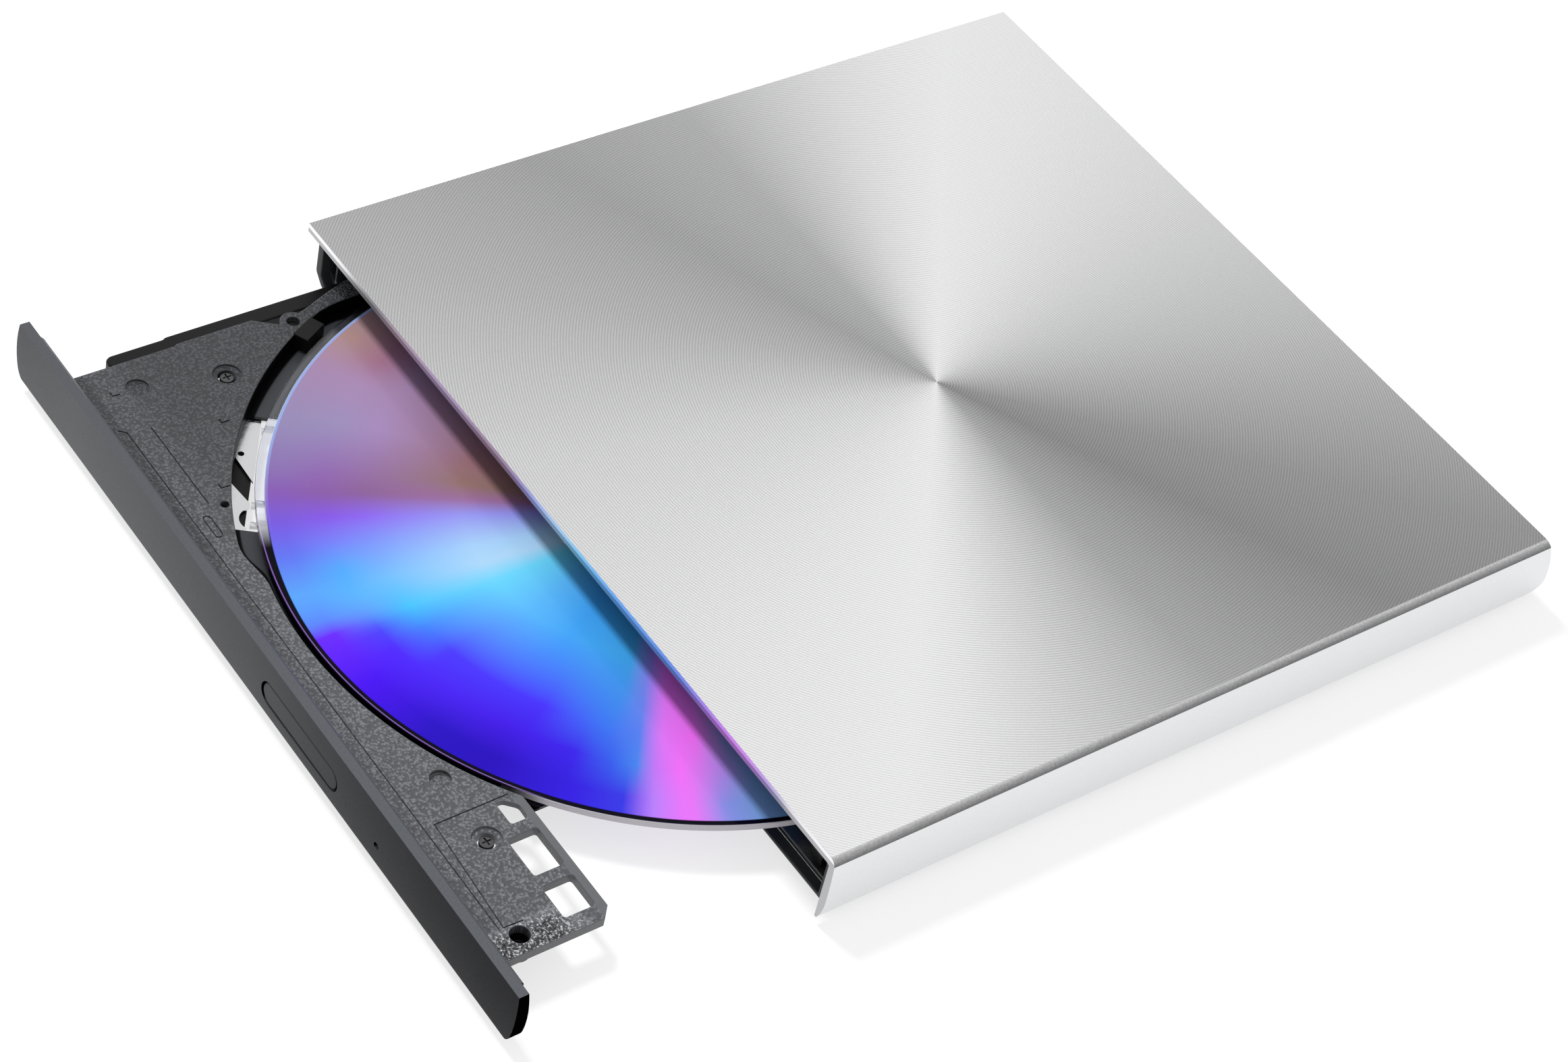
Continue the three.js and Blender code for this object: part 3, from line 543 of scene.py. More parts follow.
def spun_metal():
    """Bead-blasted silver sheet, its flat top turned with fine rings; their glints and lobes are painted
    reflection.
    """
    g = Graph("spun_metal", srgb(214, 215, 216), 0.38, 1.0)
    radius, turn = g.polar(*SPUN_CENTRE)
    stops = [(angle / 360, srgb(grey, grey, grey + 1)) for angle, grey in SPUN_REFLECTION_TONES]
    # painted reflection: bright and dark lobes round the spun centre
    spun = g.ramp(turn, stops)
    ring = g.math("SINE", g.math("MULTIPLY", radius, 2 * math.pi / GROOVE_PITCH))
    ring_level = g.band(ring, -1.0, 1.0)
    # painted glints along the turned rings
    spun = g.brighten(spun, ring_level, 1.03, 1.32)
    grain = g.noise(5200, 3.0)
    spun = g.brighten(spun, grain, 0.86, 1.14)
    blasted = g.brighten(srgb(214, 215, 216), g.noise(3800, 4.0), 1.1, 1.24)
    x, _, z = g.split(g.millimetres())
    # the lip's front: painted darker grey below, painted highlight along its top
    lip = g.mix(g.band(z, LIP_HIGHLIGHT_FROM - 0.1, LIP_HIGHLIGHT_FROM + 0.1), srgb(186, 186, 189), srgb(250, 250, 251))
    blasted = g.mix(g.band(g.facing("Y"), -0.3, -0.6), blasted, lip)
    top = g.band(g.facing("Z"), 0.96, 0.995)
    fold = g.math("MULTIPLY", g.band(g.facing("Z"), 0.12, 0.2), g.band(x, *FOLD_FROM))
    fold = g.math("MULTIPLY", fold, g.math("SUBTRACT", 1.0, top))
    # painted shade: the fold darker where it turns down towards the wall
    fold_shade = g.ramp(g.facing("Z"), [(place, srgb(grey, grey, grey + 1)) for place, grey in FOLD_SHADE_TONES])
    coarse = g.brighten(fold_shade, g.noise(2600, 5.0, roughness=0.75), 0.5, 1.5)
    body = g.mix(fold, blasted, coarse)
    g.set("Base Color", g.mix(top, body, spun))
    g.set("Roughness", g.band(top, 0.0, 1.0, 0.5, 0.34))
    fine = g.bump(grain, 0.006, 0.5)
    g.bump(g.math("MULTIPLY", ring_level, top), 0.02, 0.55, under=fine)
    return g.material


# The coarse grain's tones at the tray's right end, from its pits to its crests: painted shade in the
# pits, painted highlights on the crests.
GRAIN_SHADE_AND_GLINT_TONES = [(0.4, srgb(34, 35, 37)), (0.52, srgb(84, 85, 89)), (0.62, srgb(225, 226, 229))]


def grained_plastic():
    """Charcoal plastic with a leathery moulded grain, coarser at the tray's right end, with painted
    highlights and shade.
    """
    g = Graph("grained_plastic", srgb(62, 64, 66), 0.4)
    x, y, _ = g.split(g.millimetres())
    top = g.band(g.facing("Z"), 0.9, 0.99)
    fine = g.noise(3600, 3.0, roughness=0.6)
    cells = g.pebbles(2300, 0.7)
    coarse = g.noise(2400, 4.0, roughness=0.75)
    right_end = g.math("MULTIPLY", g.band(x, 54.0, 57.0), g.band(y, -30.0, -37.0))
    rear_edge = g.math("MULTIPLY", g.band(x, 36.0, 37.0), g.band(y, -29.4, -29.1))
    relief = g.math("ADD", g.math("MULTIPLY", cells, -1.1), fine)
    relief = g.math("ADD", relief, g.math("MULTIPLY", g.math("MULTIPLY", coarse, 3.0), right_end))
    relief = g.math("MULTIPLY", relief, g.math("SUBTRACT", top, rear_edge, clamp=True))
    # painted highlights on the grain's crests and painted shade in its hollows
    crests = g.band(relief, -0.2, 0.45)
    # paler towards the right end and towards the front
    light = g.math("ADD", g.band(x, -60.0, 25.0), g.band(y, -34.0, -42.0, 0.0, 0.3))
    # painted shade in the strip along the bezel
    light = g.math("SUBTRACT", light, g.band(y, -43.1, -43.9, 0.0, 0.55), clamp=True)
    tint = g.mix(light, srgb(56, 57, 61), srgb(92, 93, 97))
    tint = g.brighten(tint, g.noise(900, 4.0), 0.92, 1.08)
    tint = g.brighten(tint, crests, 0.55, 1.52)
    # the right end's coarse grain: painted shade in its pits, painted highlight flecks on its crests
    coarse_glint_area = g.math("MULTIPLY", right_end, top)
    g.set("Base Color", g.mix(coarse_glint_area, tint, g.ramp(coarse, GRAIN_SHADE_AND_GLINT_TONES)))
    g.set("Roughness", g.band(fine, 0.3, 0.7, 0.3, 0.5))
    g.bump(relief, 0.22, 1.0)
    return g.material


def pocket_plastic():
    """Smooth dark plastic, in its own shade close under the pocket's wall."""
    g = Graph("pocket_plastic", srgb(40, 41, 45), 0.42)
    radius, turn = g.polar(DISC_X, DISC_Y)
    wide = g.math("MULTIPLY", g.band(turn, 0.54, 0.57), g.band(turn, 0.715, 0.69))
    depth = g.math("SUBTRACT", radius, g.band(wide, 0.0, 1.0, POCKET["radius"], POCKET["wide"]))
    # painted shade on the pocket's wall and on the floor close under it
    shade = g.band(depth, -1.3, -0.9)
    g.set("Base Color", g.mix(shade, srgb(40, 41, 45), srgb(6, 6, 7)))
    g.set("Specular IOR Level", g.band(shade, 0.0, 1.0, 0.5, 0.05))
    g.bump(g.noise(6000, 3.0), 0.006, 0.3)
    return g.material


# Painted shade on the bezel's front, darker towards its right end: places from its left end to its
# right, and display greys.
BEZEL_FRONT_SHADE = [(0.0, 58), (0.12, 73), (0.3, 69), (0.52, 59), (0.74, 31), (0.88, 17), (1.0, 16)]


def bezel_plastic():
    """Matte charcoal plastic: the upper faces are painted paler than the front as light, and the ends
    painted black as shade.
    """
    g = Graph("bezel_plastic", srgb(40, 43, 46), 0.42)
    x, _, _ = g.split(g.millimetres())
    along = g.band(x, -68.0, 62.0, smooth=False)
    # painted shade along the front, darker towards the right end
    front = g.ramp(along, [(place, srgb(grey - 1, grey, grey + 4)) for place, grey in BEZEL_FRONT_SHADE])
    # painted light: the upper faces paler
    upper = g.mix(along, srgb(67, 68, 72), srgb(77, 79, 83))
    color = g.mix(g.band(g.facing("Z"), 0.3, 0.8), front, upper)
    # painted shade: the end faces black
    ends = g.band(g.math("ABSOLUTE", g.facing("X")), 0.4, 0.8)
    color = g.mix(ends, color, srgb(2, 2, 2))
    g.set("Base Color", g.brighten(color, g.noise(2400, 4.0), 0.84, 1.16))
    gloss = g.band(along, 0.0, 1.0, 0.22, 0.06, smooth=False)
    g.set("Specular IOR Level", g.math("SUBTRACT", gloss, ends, clamp=True))
    spark = g.noise(7000, 3.0)
    g.set("Roughness", g.band(spark, 0.3, 0.7, 0.38, 0.5))
    g.bump(spark, 0.012, 0.4)
    return g.material


def smooth_plastic(name, color, roughness=0.42, gloss=0.5, speckle=0.06):
    """Matte moulded plastic with a barely visible spark grain."""
    g = Graph(name, color, roughness)
    g.set("Specular IOR Level", gloss)
    spark = g.noise(7000, 3.0)
    g.set("Base Color", g.brighten(color, g.noise(160, 3.0), 1 - speckle, 1 + speckle))
    g.set("Roughness", g.band(spark, 0.3, 0.7, roughness - 0.04, roughness + 0.08))
    g.bump(spark, 0.008, 0.35)
    return g.material


def sheet_steel(name, color, roughness, streak=0.12):
    """Rolled and plated sheet, faintly streaked one way."""
    g = Graph(name, color, roughness, 1.0)
    stretched = g.node("ShaderNodeVectorMath", operation="MULTIPLY")
    g.feed(stretched.inputs[0], g.position())
    stretched.inputs[1].default_value = (1.0, 0.06, 1.0)
    rolled = g.noise(2600, 4.0, vector=stretched.outputs[0])
    g.set("Base Color", g.brighten(color, rolled, 1 - streak, 1 + streak))
    g.set("Roughness", g.band(rolled, 0.2, 0.8, roughness - 0.06, roughness + 0.1))
    g.bump(rolled, 0.004, 0.4)
    return g.material


def rubber():
    g = Graph("foot_rubber", srgb(34, 34, 35), 0.85)
    dust = g.noise(1500, 4.0)
    g.set("Base Color", g.brighten(srgb(34, 34, 35), dust, 0.8, 1.25))
    g.bump(g.noise(4200, 2.0), 0.02, 0.5)
    return g.material


def circuit_board():
    """Green solder resist with paler copper tracks under it and bare pads."""
    g = Graph("circuit_board", srgb(16, 84, 52), 0.3)
    tracks = g.node("ShaderNodeTexBrick")
    g.feed(tracks.inputs["Vector"], g.position())
    tracks.inputs["Scale"].default_value = 220
    tracks.inputs["Mortar Size"].default_value = 0.03
    tracks.inputs["Color1"].default_value = srgb(14, 78, 48)
    tracks.inputs["Color2"].default_value = srgb(18, 92, 56)
    tracks.inputs["Mortar"].default_value = srgb(58, 138, 84)
    g.set("Base Color", tracks.outputs["Color"])
    g.set("Roughness", g.band(g.noise(600), 0.3, 0.7, 0.25, 0.4))
    g.bump(tracks.outputs["Fac"], 0.02, 0.3)
    return g.material


def lens_coating():
    g = Graph("lens_coating", srgb(120, 150, 205), 0.04)
    radius, _ = g.polar(*centre_mm("objective_lens")[:2])
    rings = [(0.0, srgb(96, 120, 210)), (0.55, srgb(140, 96, 190)), (1.0, srgb(40, 44, 60))]
    g.set("Base Color", g.ramp(g.band(radius, 0.0, 1.8, smooth=False), rings))
    g.set("Coat Weight", 1.0)
    return g.material


# The disc's colours round its centre, a painted sheen, as angle in degrees and display colour, at three
# radii.
DISC_SHEEN_COLORS = {
    30: [
        (225, (158, 115, 124)), (234, (151, 117, 112)), (240, (158, 112, 160)), (246, (152, 152, 243)),
        (258, (168, 210, 251)), (265, (176, 217, 250)), (272, (108, 216, 254)), (286, (92, 186, 254)),
        (300, (68, 168, 252)), (318, (68, 170, 240)), (323, (150, 140, 250)), (328, (248, 120, 255)),
        (338, (122, 165, 230)),
    ],
    44: [
        (210, (168, 136, 176)), (222, (166, 138, 188)), (232, (150, 116, 168)), (240, (140, 97, 150)),
        (246, (140, 103, 238)), (252, (126, 146, 247)), (262, (116, 190, 252)), (270, (70, 194, 252)),
        (276, (68, 130, 254)), (283, (76, 58, 253)), (304, (72, 50, 252)), (316, (60, 120, 244)),
        (322, (90, 130, 244)), (326, (232, 122, 254)), (332, (252, 114, 254)), (338, (122, 165, 226)),
    ],
    50: [
        (206, (169, 119, 144)), (212, (170, 138, 180)), (224, (153, 140, 184)), (236, (143, 102, 174)),
        (241, (136, 92, 165)), (246, (133, 88, 228)), (252, (118, 128, 246)), (258, (82, 169, 249)),
        (264, (91, 180, 252)), (268, (96, 160, 253)), (272, (77, 71, 252)), (277, (80, 42, 254)),
        (300, (67, 25, 232)), (312, (60, 34, 236)), (318, (56, 97, 238)), (322, (70, 135, 240)),
        (325, (200, 120, 250)), (329, (251, 114, 255)), (336, (180, 140, 240)), (340, (122, 165, 226)),
    ],
    56: [
        (204, (176, 141, 138)), (212, (166, 135, 172)), (226, (148, 138, 180)), (236, (139, 112, 176)),
        (241, (134, 90, 178)), (248, (118, 92, 225)), (254, (98, 118, 240)), (262, (92, 168, 251)),
        (267, (92, 140, 250)), (270, (108, 44, 254)), (280, (74, 18, 244)), (292, (42, 16, 196)),
        (302, (42, 12, 190)), (314, (54, 30, 228)), (321, (58, 60, 232)), (325, (190, 130, 253)),
        (330, (245, 118, 254)), (335, (140, 150, 240)), (340, (122, 165, 226)),
    ],
}
# The painted sheen fans on the disc's other half, which close the round at every radius.
FAR_SHEEN_COLORS = [
    (0, (112, 150, 222)), (48, (140, 100, 160)), (66, (118, 120, 235)), (82, (96, 176, 250)),
    (100, (84, 150, 250)), (118, (76, 60, 246)), (140, (64, 40, 226)), (150, (190, 120, 245)),
    (158, (120, 150, 232)), (180, (160, 136, 180)),
]
DISC_MIRROR = 0.05  # how much of the colour is mirrored; the rest is scattered by the tracks
DISC_GAIN = 0.62  # brings the display colours to what the lights call for
CLEAR_RIM = 58.5
CLEAR_HUB = 17.0
STACKING_RING = 16.0
HUB_LIFT = 0.05  # the clear hub's underside stands this far off the turntable
# Across the clear rim, where the dark pocket or the pale table is behind it: painted shade with a
# painted glint, and a painted highlight at its edge over the table.
SHADED_RIM = [
    (0.0, srgb(4, 3, 12)),
    (0.78, srgb(8, 6, 20)),
    (0.86, srgb(150, 110, 200)),
    (0.93, srgb(12, 10, 24)),
]
LIT_RIM = [
    (0.0, srgb(4, 3, 14)),
    (0.9, srgb(8, 6, 24)),
    (0.95, srgb(206, 204, 212)),
    (1.0, srgb(226, 222, 230)),
]


def disc_surface():
    """A mirror under clear plastic: painted sheen fans over the data, a clear rim and a clear hub."""
    g = Graph("disc_surface", srgb(90, 60, 240), 0.06, 1.0)
    radius, turn = g.polar(DISC_X, DISC_Y)
    fans = {}
    for at, near in DISC_SHEEN_COLORS.items():
        stops = FAR_SHEEN_COLORS + near + [(360, FAR_SHEEN_COLORS[0][1])]
        fans[at] = g.ramp(turn, [(angle / 360, srgb(*color)) for angle, color in stops])
    color = g.mix(g.band(radius, 30, 44, smooth=False), fans[30], fans[44])
    color = g.mix(g.band(radius, 44, 50, smooth=False), color, fans[50])
    color = g.mix(g.band(radius, 50, 56, smooth=False), color, fans[56])
    # painted highlight: a thin pale line along part of the disc's edge
    edge_highlight = g.math("MULTIPLY", g.band(radius, 58.1, 58.2), g.band(turn, 0.70, 0.62))
    color = g.mix(edge_highlight, color, srgb(150, 170, 225))
    color = g.scaled(color, DISC_GAIN)
    narrowed = g.math("SUBTRACT", radius, g.band(turn, 0.67, 0.76, 0.0, 0.7))
    beyond = g.band(narrowed, CLEAR_RIM, CLEAR_RIM + 0.15)
    clear = g.math("ADD", beyond, g.band(radius, CLEAR_HUB, CLEAR_HUB - 0.2))
    color = g.mix(clear, color, srgb(236, 238, 246))
    # the clear rim in front is painted, not see-through: painted shade, a painted glint and a painted
    # edge highlight
    in_front = g.math("MULTIPLY", g.band(turn, 0.675, 0.70), g.band(turn, 0.985, 0.96))
    in_front = g.math("MULTIPLY", in_front, g.band(narrowed, CLEAR_RIM - 0.2, CLEAR_RIM))
    across = g.band(radius, CLEAR_RIM - 0.2, DISC_RADIUS, smooth=False)
    rim = g.mix(g.band(turn, 0.848, 0.866), g.ramp(across, SHADED_RIM), g.ramp(across, LIT_RIM))
    color = g.mix(in_front, color, g.scaled(rim, DISC_GAIN))
    g.set("Base Color", color)
    mirror = g.math("SUBTRACT", 1.0, g.math("MAXIMUM", clear, in_front), clamp=True)
    g.set("Metallic", g.math("MULTIPLY", mirror, DISC_MIRROR))
    glassy = g.math("SUBTRACT", clear, in_front, clamp=True)
    g.set("Transmission Weight", glassy)
    g.set("Specular IOR Level", g.band(glassy, 0.0, 1.0, 0.06, 0.4))
    g.set("IOR", 1.55)
    g.set("Roughness", g.band(radius, 20.0, 60.0, 0.05, 0.07))
    return g.material


# ------------------------------------------------------------------ casing pieces

LID_LEFT = -70.5
LID_RIGHT = 70.25
LID_DEPTH = 138.3
REAR_BULGE = 140.7
REAR_CURVE = {"fullest": 4.6, "tuck": 2.6}  # the height where it reaches furthest, and the tuck below
SHEET = 1.2
FOLD = 1.35
LIP = {"depth": 1.3, "thickness": 1.6}
SIDE = {"bottom": 1.3, "foot": 69.55, "bulge": 70.5, "bulge_height": 5.6, "inside": 69.15}
TUB = {"left": -70.3, "right": 68.9, "bottom": 1.4, "top": 12.4, "front": 4.2, "chamfer": 2.0}
CAVITY = {"wall": 1.1, "floor": 2.0, "chamfer": 1.4, "rear": 137.0}
PORT = {"width": 9.5, "height": 3.8, "front": 136.0}
MOUTH = {"bottom": 1.6, "front": 2.1, "back": 3.9}
# The mouth's opening: left, right, bottom, top and the chamfer at its lower left.
OPENING = (-68.8, 66.8, 2.2, 11.7, 1.5)


def rear_at(z):
    """How far back the casing reaches at a height: it swells out, then tucks under."""
    fullest, bottom = REAR_CURVE["fullest"], TUB["bottom"]
    if z >= fullest:
        t = (LID_TOP - z) / (LID_TOP - fullest)
        return LID_DEPTH + (REAR_BULGE - LID_DEPTH) * math.sin(t * math.pi / 2)
    t = (fullest - max(z, bottom)) / (fullest - bottom)
    return REAR_BULGE - REAR_CURVE["tuck"] * (1 - math.sqrt(max(0.0, 1 - t * t)))


def cover_section(under):
    """The cover's front view: flat top, one rounded fold, and a wall that bellies out."""
    outer = arc(LID_RIGHT - FOLD, LID_TOP - FOLD, FOLD, 90, 0, 8)
    belly = (SIDE["bulge"], SIDE["bulge_height"])
    wall = curve_through(outer[-1], (SIDE["bulge"], 9.5), belly)
    wall += curve_through(belly, (SIDE["bulge"], SIDE["bottom"] + 1.9), (SIDE["foot"], SIDE["bottom"]))
    inside = SIDE["inside"]
    inner = [(inside, SIDE["bottom"]), (inside, LID_TOP - SHEET - 0.6), (inside - 0.6, under)]
    return [(LID_LEFT, LID_TOP)] + outer + wall + inner + [(LID_LEFT, under)]


def make_cover(material):
    lip_under = LID_TOP - LIP["thickness"]
    under = LID_TOP - SHEET
    stations = [(0.0, lip_under), (LIP["depth"], lip_under), (LIP["depth"] + 0.05, under)]
    sections = [[(x, y, z) for x, z in cover_section(level)] for y, level in stations]
    sections.append([(x, rear_at(z), z) for x, z in cover_section(under)])
    cover = loft("cover", sections)
    soften(cover, 0.2)
    return finish_piece(cover, "casing", "silver_cover", material, "top_cover")


def tub_outline(left, right, bottom, top, chamfer):
    chamfered = [(left, bottom + chamfer), (left + chamfer, bottom)]
    return [(left, top)] + chamfered + [(right, bottom), (right, top)]


def make_tub(material):
    """The plastic tub: one wall on the left, one inside the cover's fold, and a swollen rear."""
    heights = [TUB["top"] - (TUB["top"] - TUB["bottom"]) * i / 12 for i in range(13)]
    left, right, chamfer = TUB["left"], TUB["right"], TUB["chamfer"]

    def left_at(z):
        return left + max(0.0, TUB["bottom"] + chamfer - z)

    loop = [(left_at(z), z) for z in heights] + [(right, z) for z in reversed(heights)]
    sections = [[(x, TUB["front"], z) for x, z in loop], [(x, rear_at(z), z) for x, z in loop]]
    tub = loft("tub", sections)
    sides = (left + CAVITY["wall"], right - CAVITY["wall"])
    hollow = tub_outline(*sides, CAVITY["floor"], TUB["top"] + 1, CAVITY["chamfer"])
    cavity = deep_prism("cavity", hollow, (TUB["front"] - 1, CAVITY["rear"]))
    port_x, _, port_z = centre_mm("usb_socket_shell")
    port_outline = pill(port_x, port_z, PORT["width"], PORT["height"])
    port = deep_prism("port", port_outline, (PORT["front"], REAR_BULGE + 1))
    carve(tub, [cavity, port])
    soften(tub, 0.3, degrees=40)
    return finish_piece(tub, "casing", "casing_plastic", material, "bottom_cover")


def make_mouth_frame(material):
    """The plastic ring that the tray comes out through."""
    edge = tub_outline(TUB["left"], TUB["right"], MOUTH["bottom"], TUB["top"], TUB["chamfer"])
    outer = rounded(edge, 0.5)
    opening = rounded(tub_outline(*OPENING), 0.4)
    levels = (MOUTH["front"], MOUTH["back"])
    ring = plate("mouth_frame_piece", outer, [opening], *levels, 0.2, lie="upright")
    return finish_piece(ring, "casing", "casing_plastic", material, "mouth_frame")


def make_feet(material):
    for corner in ("front_left", "front_right", "rear_left", "rear_right"):
        low, high = box_mm(f"foot_{corner}")
        x, y, _ = centre_mm(f"foot_{corner}")
        outline = pill(x, y, high[0] - low[0], high[1] - low[1])
        foot = plate(f"pad_{corner}", outline, [], low[2], high[2], 0.35)
        finish_piece(foot, "casing", "foot_rubber", material, f"foot_{corner}")


LEFT_RAIL = {"inner": -61.6, "outer": -64.6, "front": -38.0, "step": -27.6, "rear": 87.0}
RAIL_LEVELS = (3.6, 5.6)
RAIL_SLOTS = {"starts": (40, 60), "length": 9, "left": -63.7, "right": -62.5}


def make_left_rail(material):
    """The strip that slides beside the tray, with its hooked tip and its outward step."""
    inner, outer, front, step, rear = (LEFT_RAIL[k] for k in ("inner", "outer", "front", "step", "rear"))
    outline = [
        (inner, front + 0.6),
        (inner - 0.8, front),
        (outer + 0.9, front),
        (outer + 0.3, front + 0.8),
        (outer + 0.3, step - 0.5),
        (outer, step),
        (outer, rear),
        (inner, rear),
    ]
    left, right = RAIL_SLOTS["left"], RAIL_SLOTS["right"]
    slots = []
    for y in RAIL_SLOTS["starts"]:
        far = y + RAIL_SLOTS["length"]
        slots.append(rounded([(left, y), (right, y), (right, far), (left, far)], 0.5))
    rail = plate("left_rail", rounded(outline, 0.5), slots, *RAIL_LEVELS, 0.3)
    return finish_piece(rail, "rail_left", "black_plastic", material, "slide_rail_left")


# ------------------------------------------------------------------ bezel and button

BEZEL = {
    "left": -69.65,
    "right": 68.45,
    "front": -49.4,
    "bottom": 1.7,
    "top": 12.1,
    "belly": 0.7,
    "corner_top": 4.4,
    "corner": 2.4,
    "middle": 7.0,
    "thickness": 2.05,
}
RIDGE = {"left": -66.4, "right": 66.2, "back": -46.95, "bottom": 2.6, "top": 11.2}
BEZEL_PIN_HOLE = (34.3, 5.4, 0.6)  # x, z and radius
BUTTON_SLOT = 0.6  # how much longer and taller the slot is than the button


def bezel_section():
    """The bezel's side view: a front that bows a little, and a back cut away below."""
    front, bottom, middle, top = (BEZEL[k] for k in ("front", "bottom", "middle", "top"))
    back = front + BEZEL["thickness"]
    points = [(front + 0.2, top)]
    points += curve_through(points[-1], (front - 0.16, middle), (front + 0.12, bottom + 0.5), 12)
    points += curve_through(points[-1], (front + 0.15, bottom), (front + 0.6, bottom), 4)
    points += [(front + 1.2, bottom)]
    points += curve_through(points[-1], (back, bottom + 0.1), (back, bottom + 1.2), 5)
    points += curve_through(points[-1], (back, middle), (back - 0.3, top), 8)
    return points


def bezel_front():
    """The bezel's front view: both ends belly out a little and are rounded off below."""
    left, right, bottom, top = (BEZEL[k] for k in ("left", "right", "bottom", "top"))
    belly, corner_top, corner = BEZEL["belly"], BEZEL["corner_top"], BEZEL["corner"]
    middle = (top + corner_top) / 2
    points = [(left, top)]
    points += curve_through(points[-1], (left - belly, middle), (left, corner_top), 8)
    points += curve_through(points[-1], (left + 0.4, bottom), (left + corner, bottom), 6)
    points += [(right - corner, bottom)]
    points += curve_through(points[-1], (right - 0.4, bottom), (right, corner_top), 6)
    points += curve_through(points[-1], (right + belly, middle), (right, top), 8)
    return points


def make_bezel(material):
    ends = (BEZEL["left"] - 1, BEZEL["right"] + 1)
    panel = loft("bezel_piece", [[(x, y, z) for y, z in bezel_section()] for x in ends])
    depths = (BEZEL["front"] - 1, RIDGE["back"] + 1)
    carve(panel, [deep_prism("bezel_view", bezel_front(), depths)], "INTERSECT")
    inside, under = BEZEL["front"] + 1.0, BEZEL["top"] - 0.12
    profile = [
        (inside, under),
        (inside, RIDGE["bottom"]),
        (RIDGE["back"], RIDGE["bottom"]),
        (RIDGE["back"], RIDGE["top"]),
        (RIDGE["back"] - 0.75, under),
    ]
    ridge = loft("ridge", [[(x, y, z) for y, z in profile] for x in (RIDGE["left"], RIDGE["right"])])
    carve(panel, [ridge], "UNION")
    low, high = box_mm("eject_button")
    x, _, z = centre_mm("eject_button")
    slot = pill(x, z, high[0] - low[0] + BUTTON_SLOT, high[2] - low[2] + BUTTON_SLOT)
    button_hole = deep_prism("button_hole", slot, depths)
    pin_hole = deep_prism("pin_hole", circle(*BEZEL_PIN_HOLE, 20), depths)
    carve(panel, [button_hole, pin_hole])
    soften(panel, 0.14, 2, 40)
    return finish_piece(panel, "tray", "bezel_plastic", material, "bezel")


def make_button(material):
    low, high = box_mm("eject_button")
    x, _, z = centre_mm("eject_button")
    outline = pill(x, z, high[0] - low[0], high[2] - low[2], 20)
    button = plate("button", outline, [], low[1], high[1], 0.3, lie="upright")
    return finish_piece(button, "button", "bezel_plastic", material, "eject_button")


# ------------------------------------------------------------------ tray

WINDOWS = [
    [(42.3, -33.9), (49.3, -33.9), (49.3, -29.0), (42.3, -29.0)],
    [(51.3, -34.1), (57.1, -34.1), (57.1, -29.1), (51.3, -29.1)],
    [(36.3, -31.9), (36.2, -30.8), (37.9, -29.1), (40.3, -29.2), (40.3, -31.9)],
]
# Where the platform is thinned from below, round its five-sided window: x, y and z.
THINNED = ((34.3, 40.7), (-32.3, -28.1), (0.0, 6.1))
DIMPLES = [(-55.4, -37.2, 1.75, 0.45), (29.1, -36.3, 1.55, 0.8)]
SCREW_BOSS = {"radius": 2.2, "depth": 0.45, "well": 1.4}
RIM_RADIUS = 65.3
PLATFORM_UNDER = 5.3
BOWL_END = {"x": 33.6, "y": -27.4, "angle": 303.9}
POCKET = {"radius": 61.0, "wide": 63.4, "wall": 0.8, "floor": 4.45, "under": 3.95}
WIDENING = {"from": 192, "full": 204, "end": 251, "to": 259}
PIN_HOLE = (-28.9, -37.3, 0.65)
LOCATING_HOLE = (56.7, -40.9, 1.45)
EYE = {"x": -58.5, "y": -9.0, "outer": 2.1, "inner": 1.0}


def eased(value, low, high):
    t = min(max((value - low) / (high - low), 0.0), 1.0)
    return t * t * (3 - 2 * t)


def pocket_radius(degrees):
    """The pocket's radius in one direction: it widens in front of the disc's left half."""
    degrees %= 360
    widened = min(
        eased(degrees, WIDENING["from"], WIDENING["full"]),
        1 - eased(degrees, WIDENING["end"], WIDENING["to"]),
    )
    return POCKET["radius"] + (POCKET["wide"] - POCKET["radius"]) * widened


def pocket_edge(start, end, steps, further=0.0):
    """The pocket's edge from one angle to another, or a line that follows it further out."""
    points = []
    for i in range(steps + 1):
        degrees = start + (end - start) * i / steps
        radius = pocket_radius(degrees) + further
        angle = math.radians(degrees)
        points.append((DISC_X + radius * math.cos(angle), DISC_Y + radius * math.sin(angle)))
    return points


def platform_outline():
    """The platform behind the bezel, down to the edge of the disc pocket."""
    right = [(59.7, -46.8), (59.7, -29.3), (57.9, -27.7)]
    left = [(-58.7, -11.2), (-61.3, -14.8), (-61.3, -27.5), (-61.0, -27.9), (-61.0, -46.8)]
    return right + pocket_edge(307.6, 209.5, 90) + left


def ledge_outline():
    """The band round the pocket, the eye in it, and the plate behind the disc."""
    eye = arc(EYE["x"], EYE["y"], EYE["outer"], 255, 128, 10)
    band = arc(DISC_X, DISC_Y, RIM_RADIUS, 203, 155.2, 24)
    back = TRAY_REAR
    rear = [(-64.6, 48.0), (-64.6, back - 2), (-62.6, back), (61.5, back), (63.5, back - 2), (63.5, 7.0)]
    pocket = [(x, min(y, back - 0.5)) for x, y in pocket_edge(-12.7, 210.8, 140)]
    return [(-57.0, -13.2)] + eye + band + rear + pocket


def cup(name, x, y, radius, depth, material):
    """A shallow round recess, set into a hole of the platform."""
    top, wall = TRAY_TOP - 0.12, 0.5
    floor = TRAY_TOP - depth
    profile = [(0.0, floor), (radius - 0.12, floor), (radius, floor + 0.1), (radius, top)]
    profile += [(radius + wall, top), (radius + wall, floor - 0.4), (0.0, floor - 0.4)]
    piece = lathe(name, x, y, profile, 40)
    return finish_piece(piece, "tray", "tray_plastic", material)


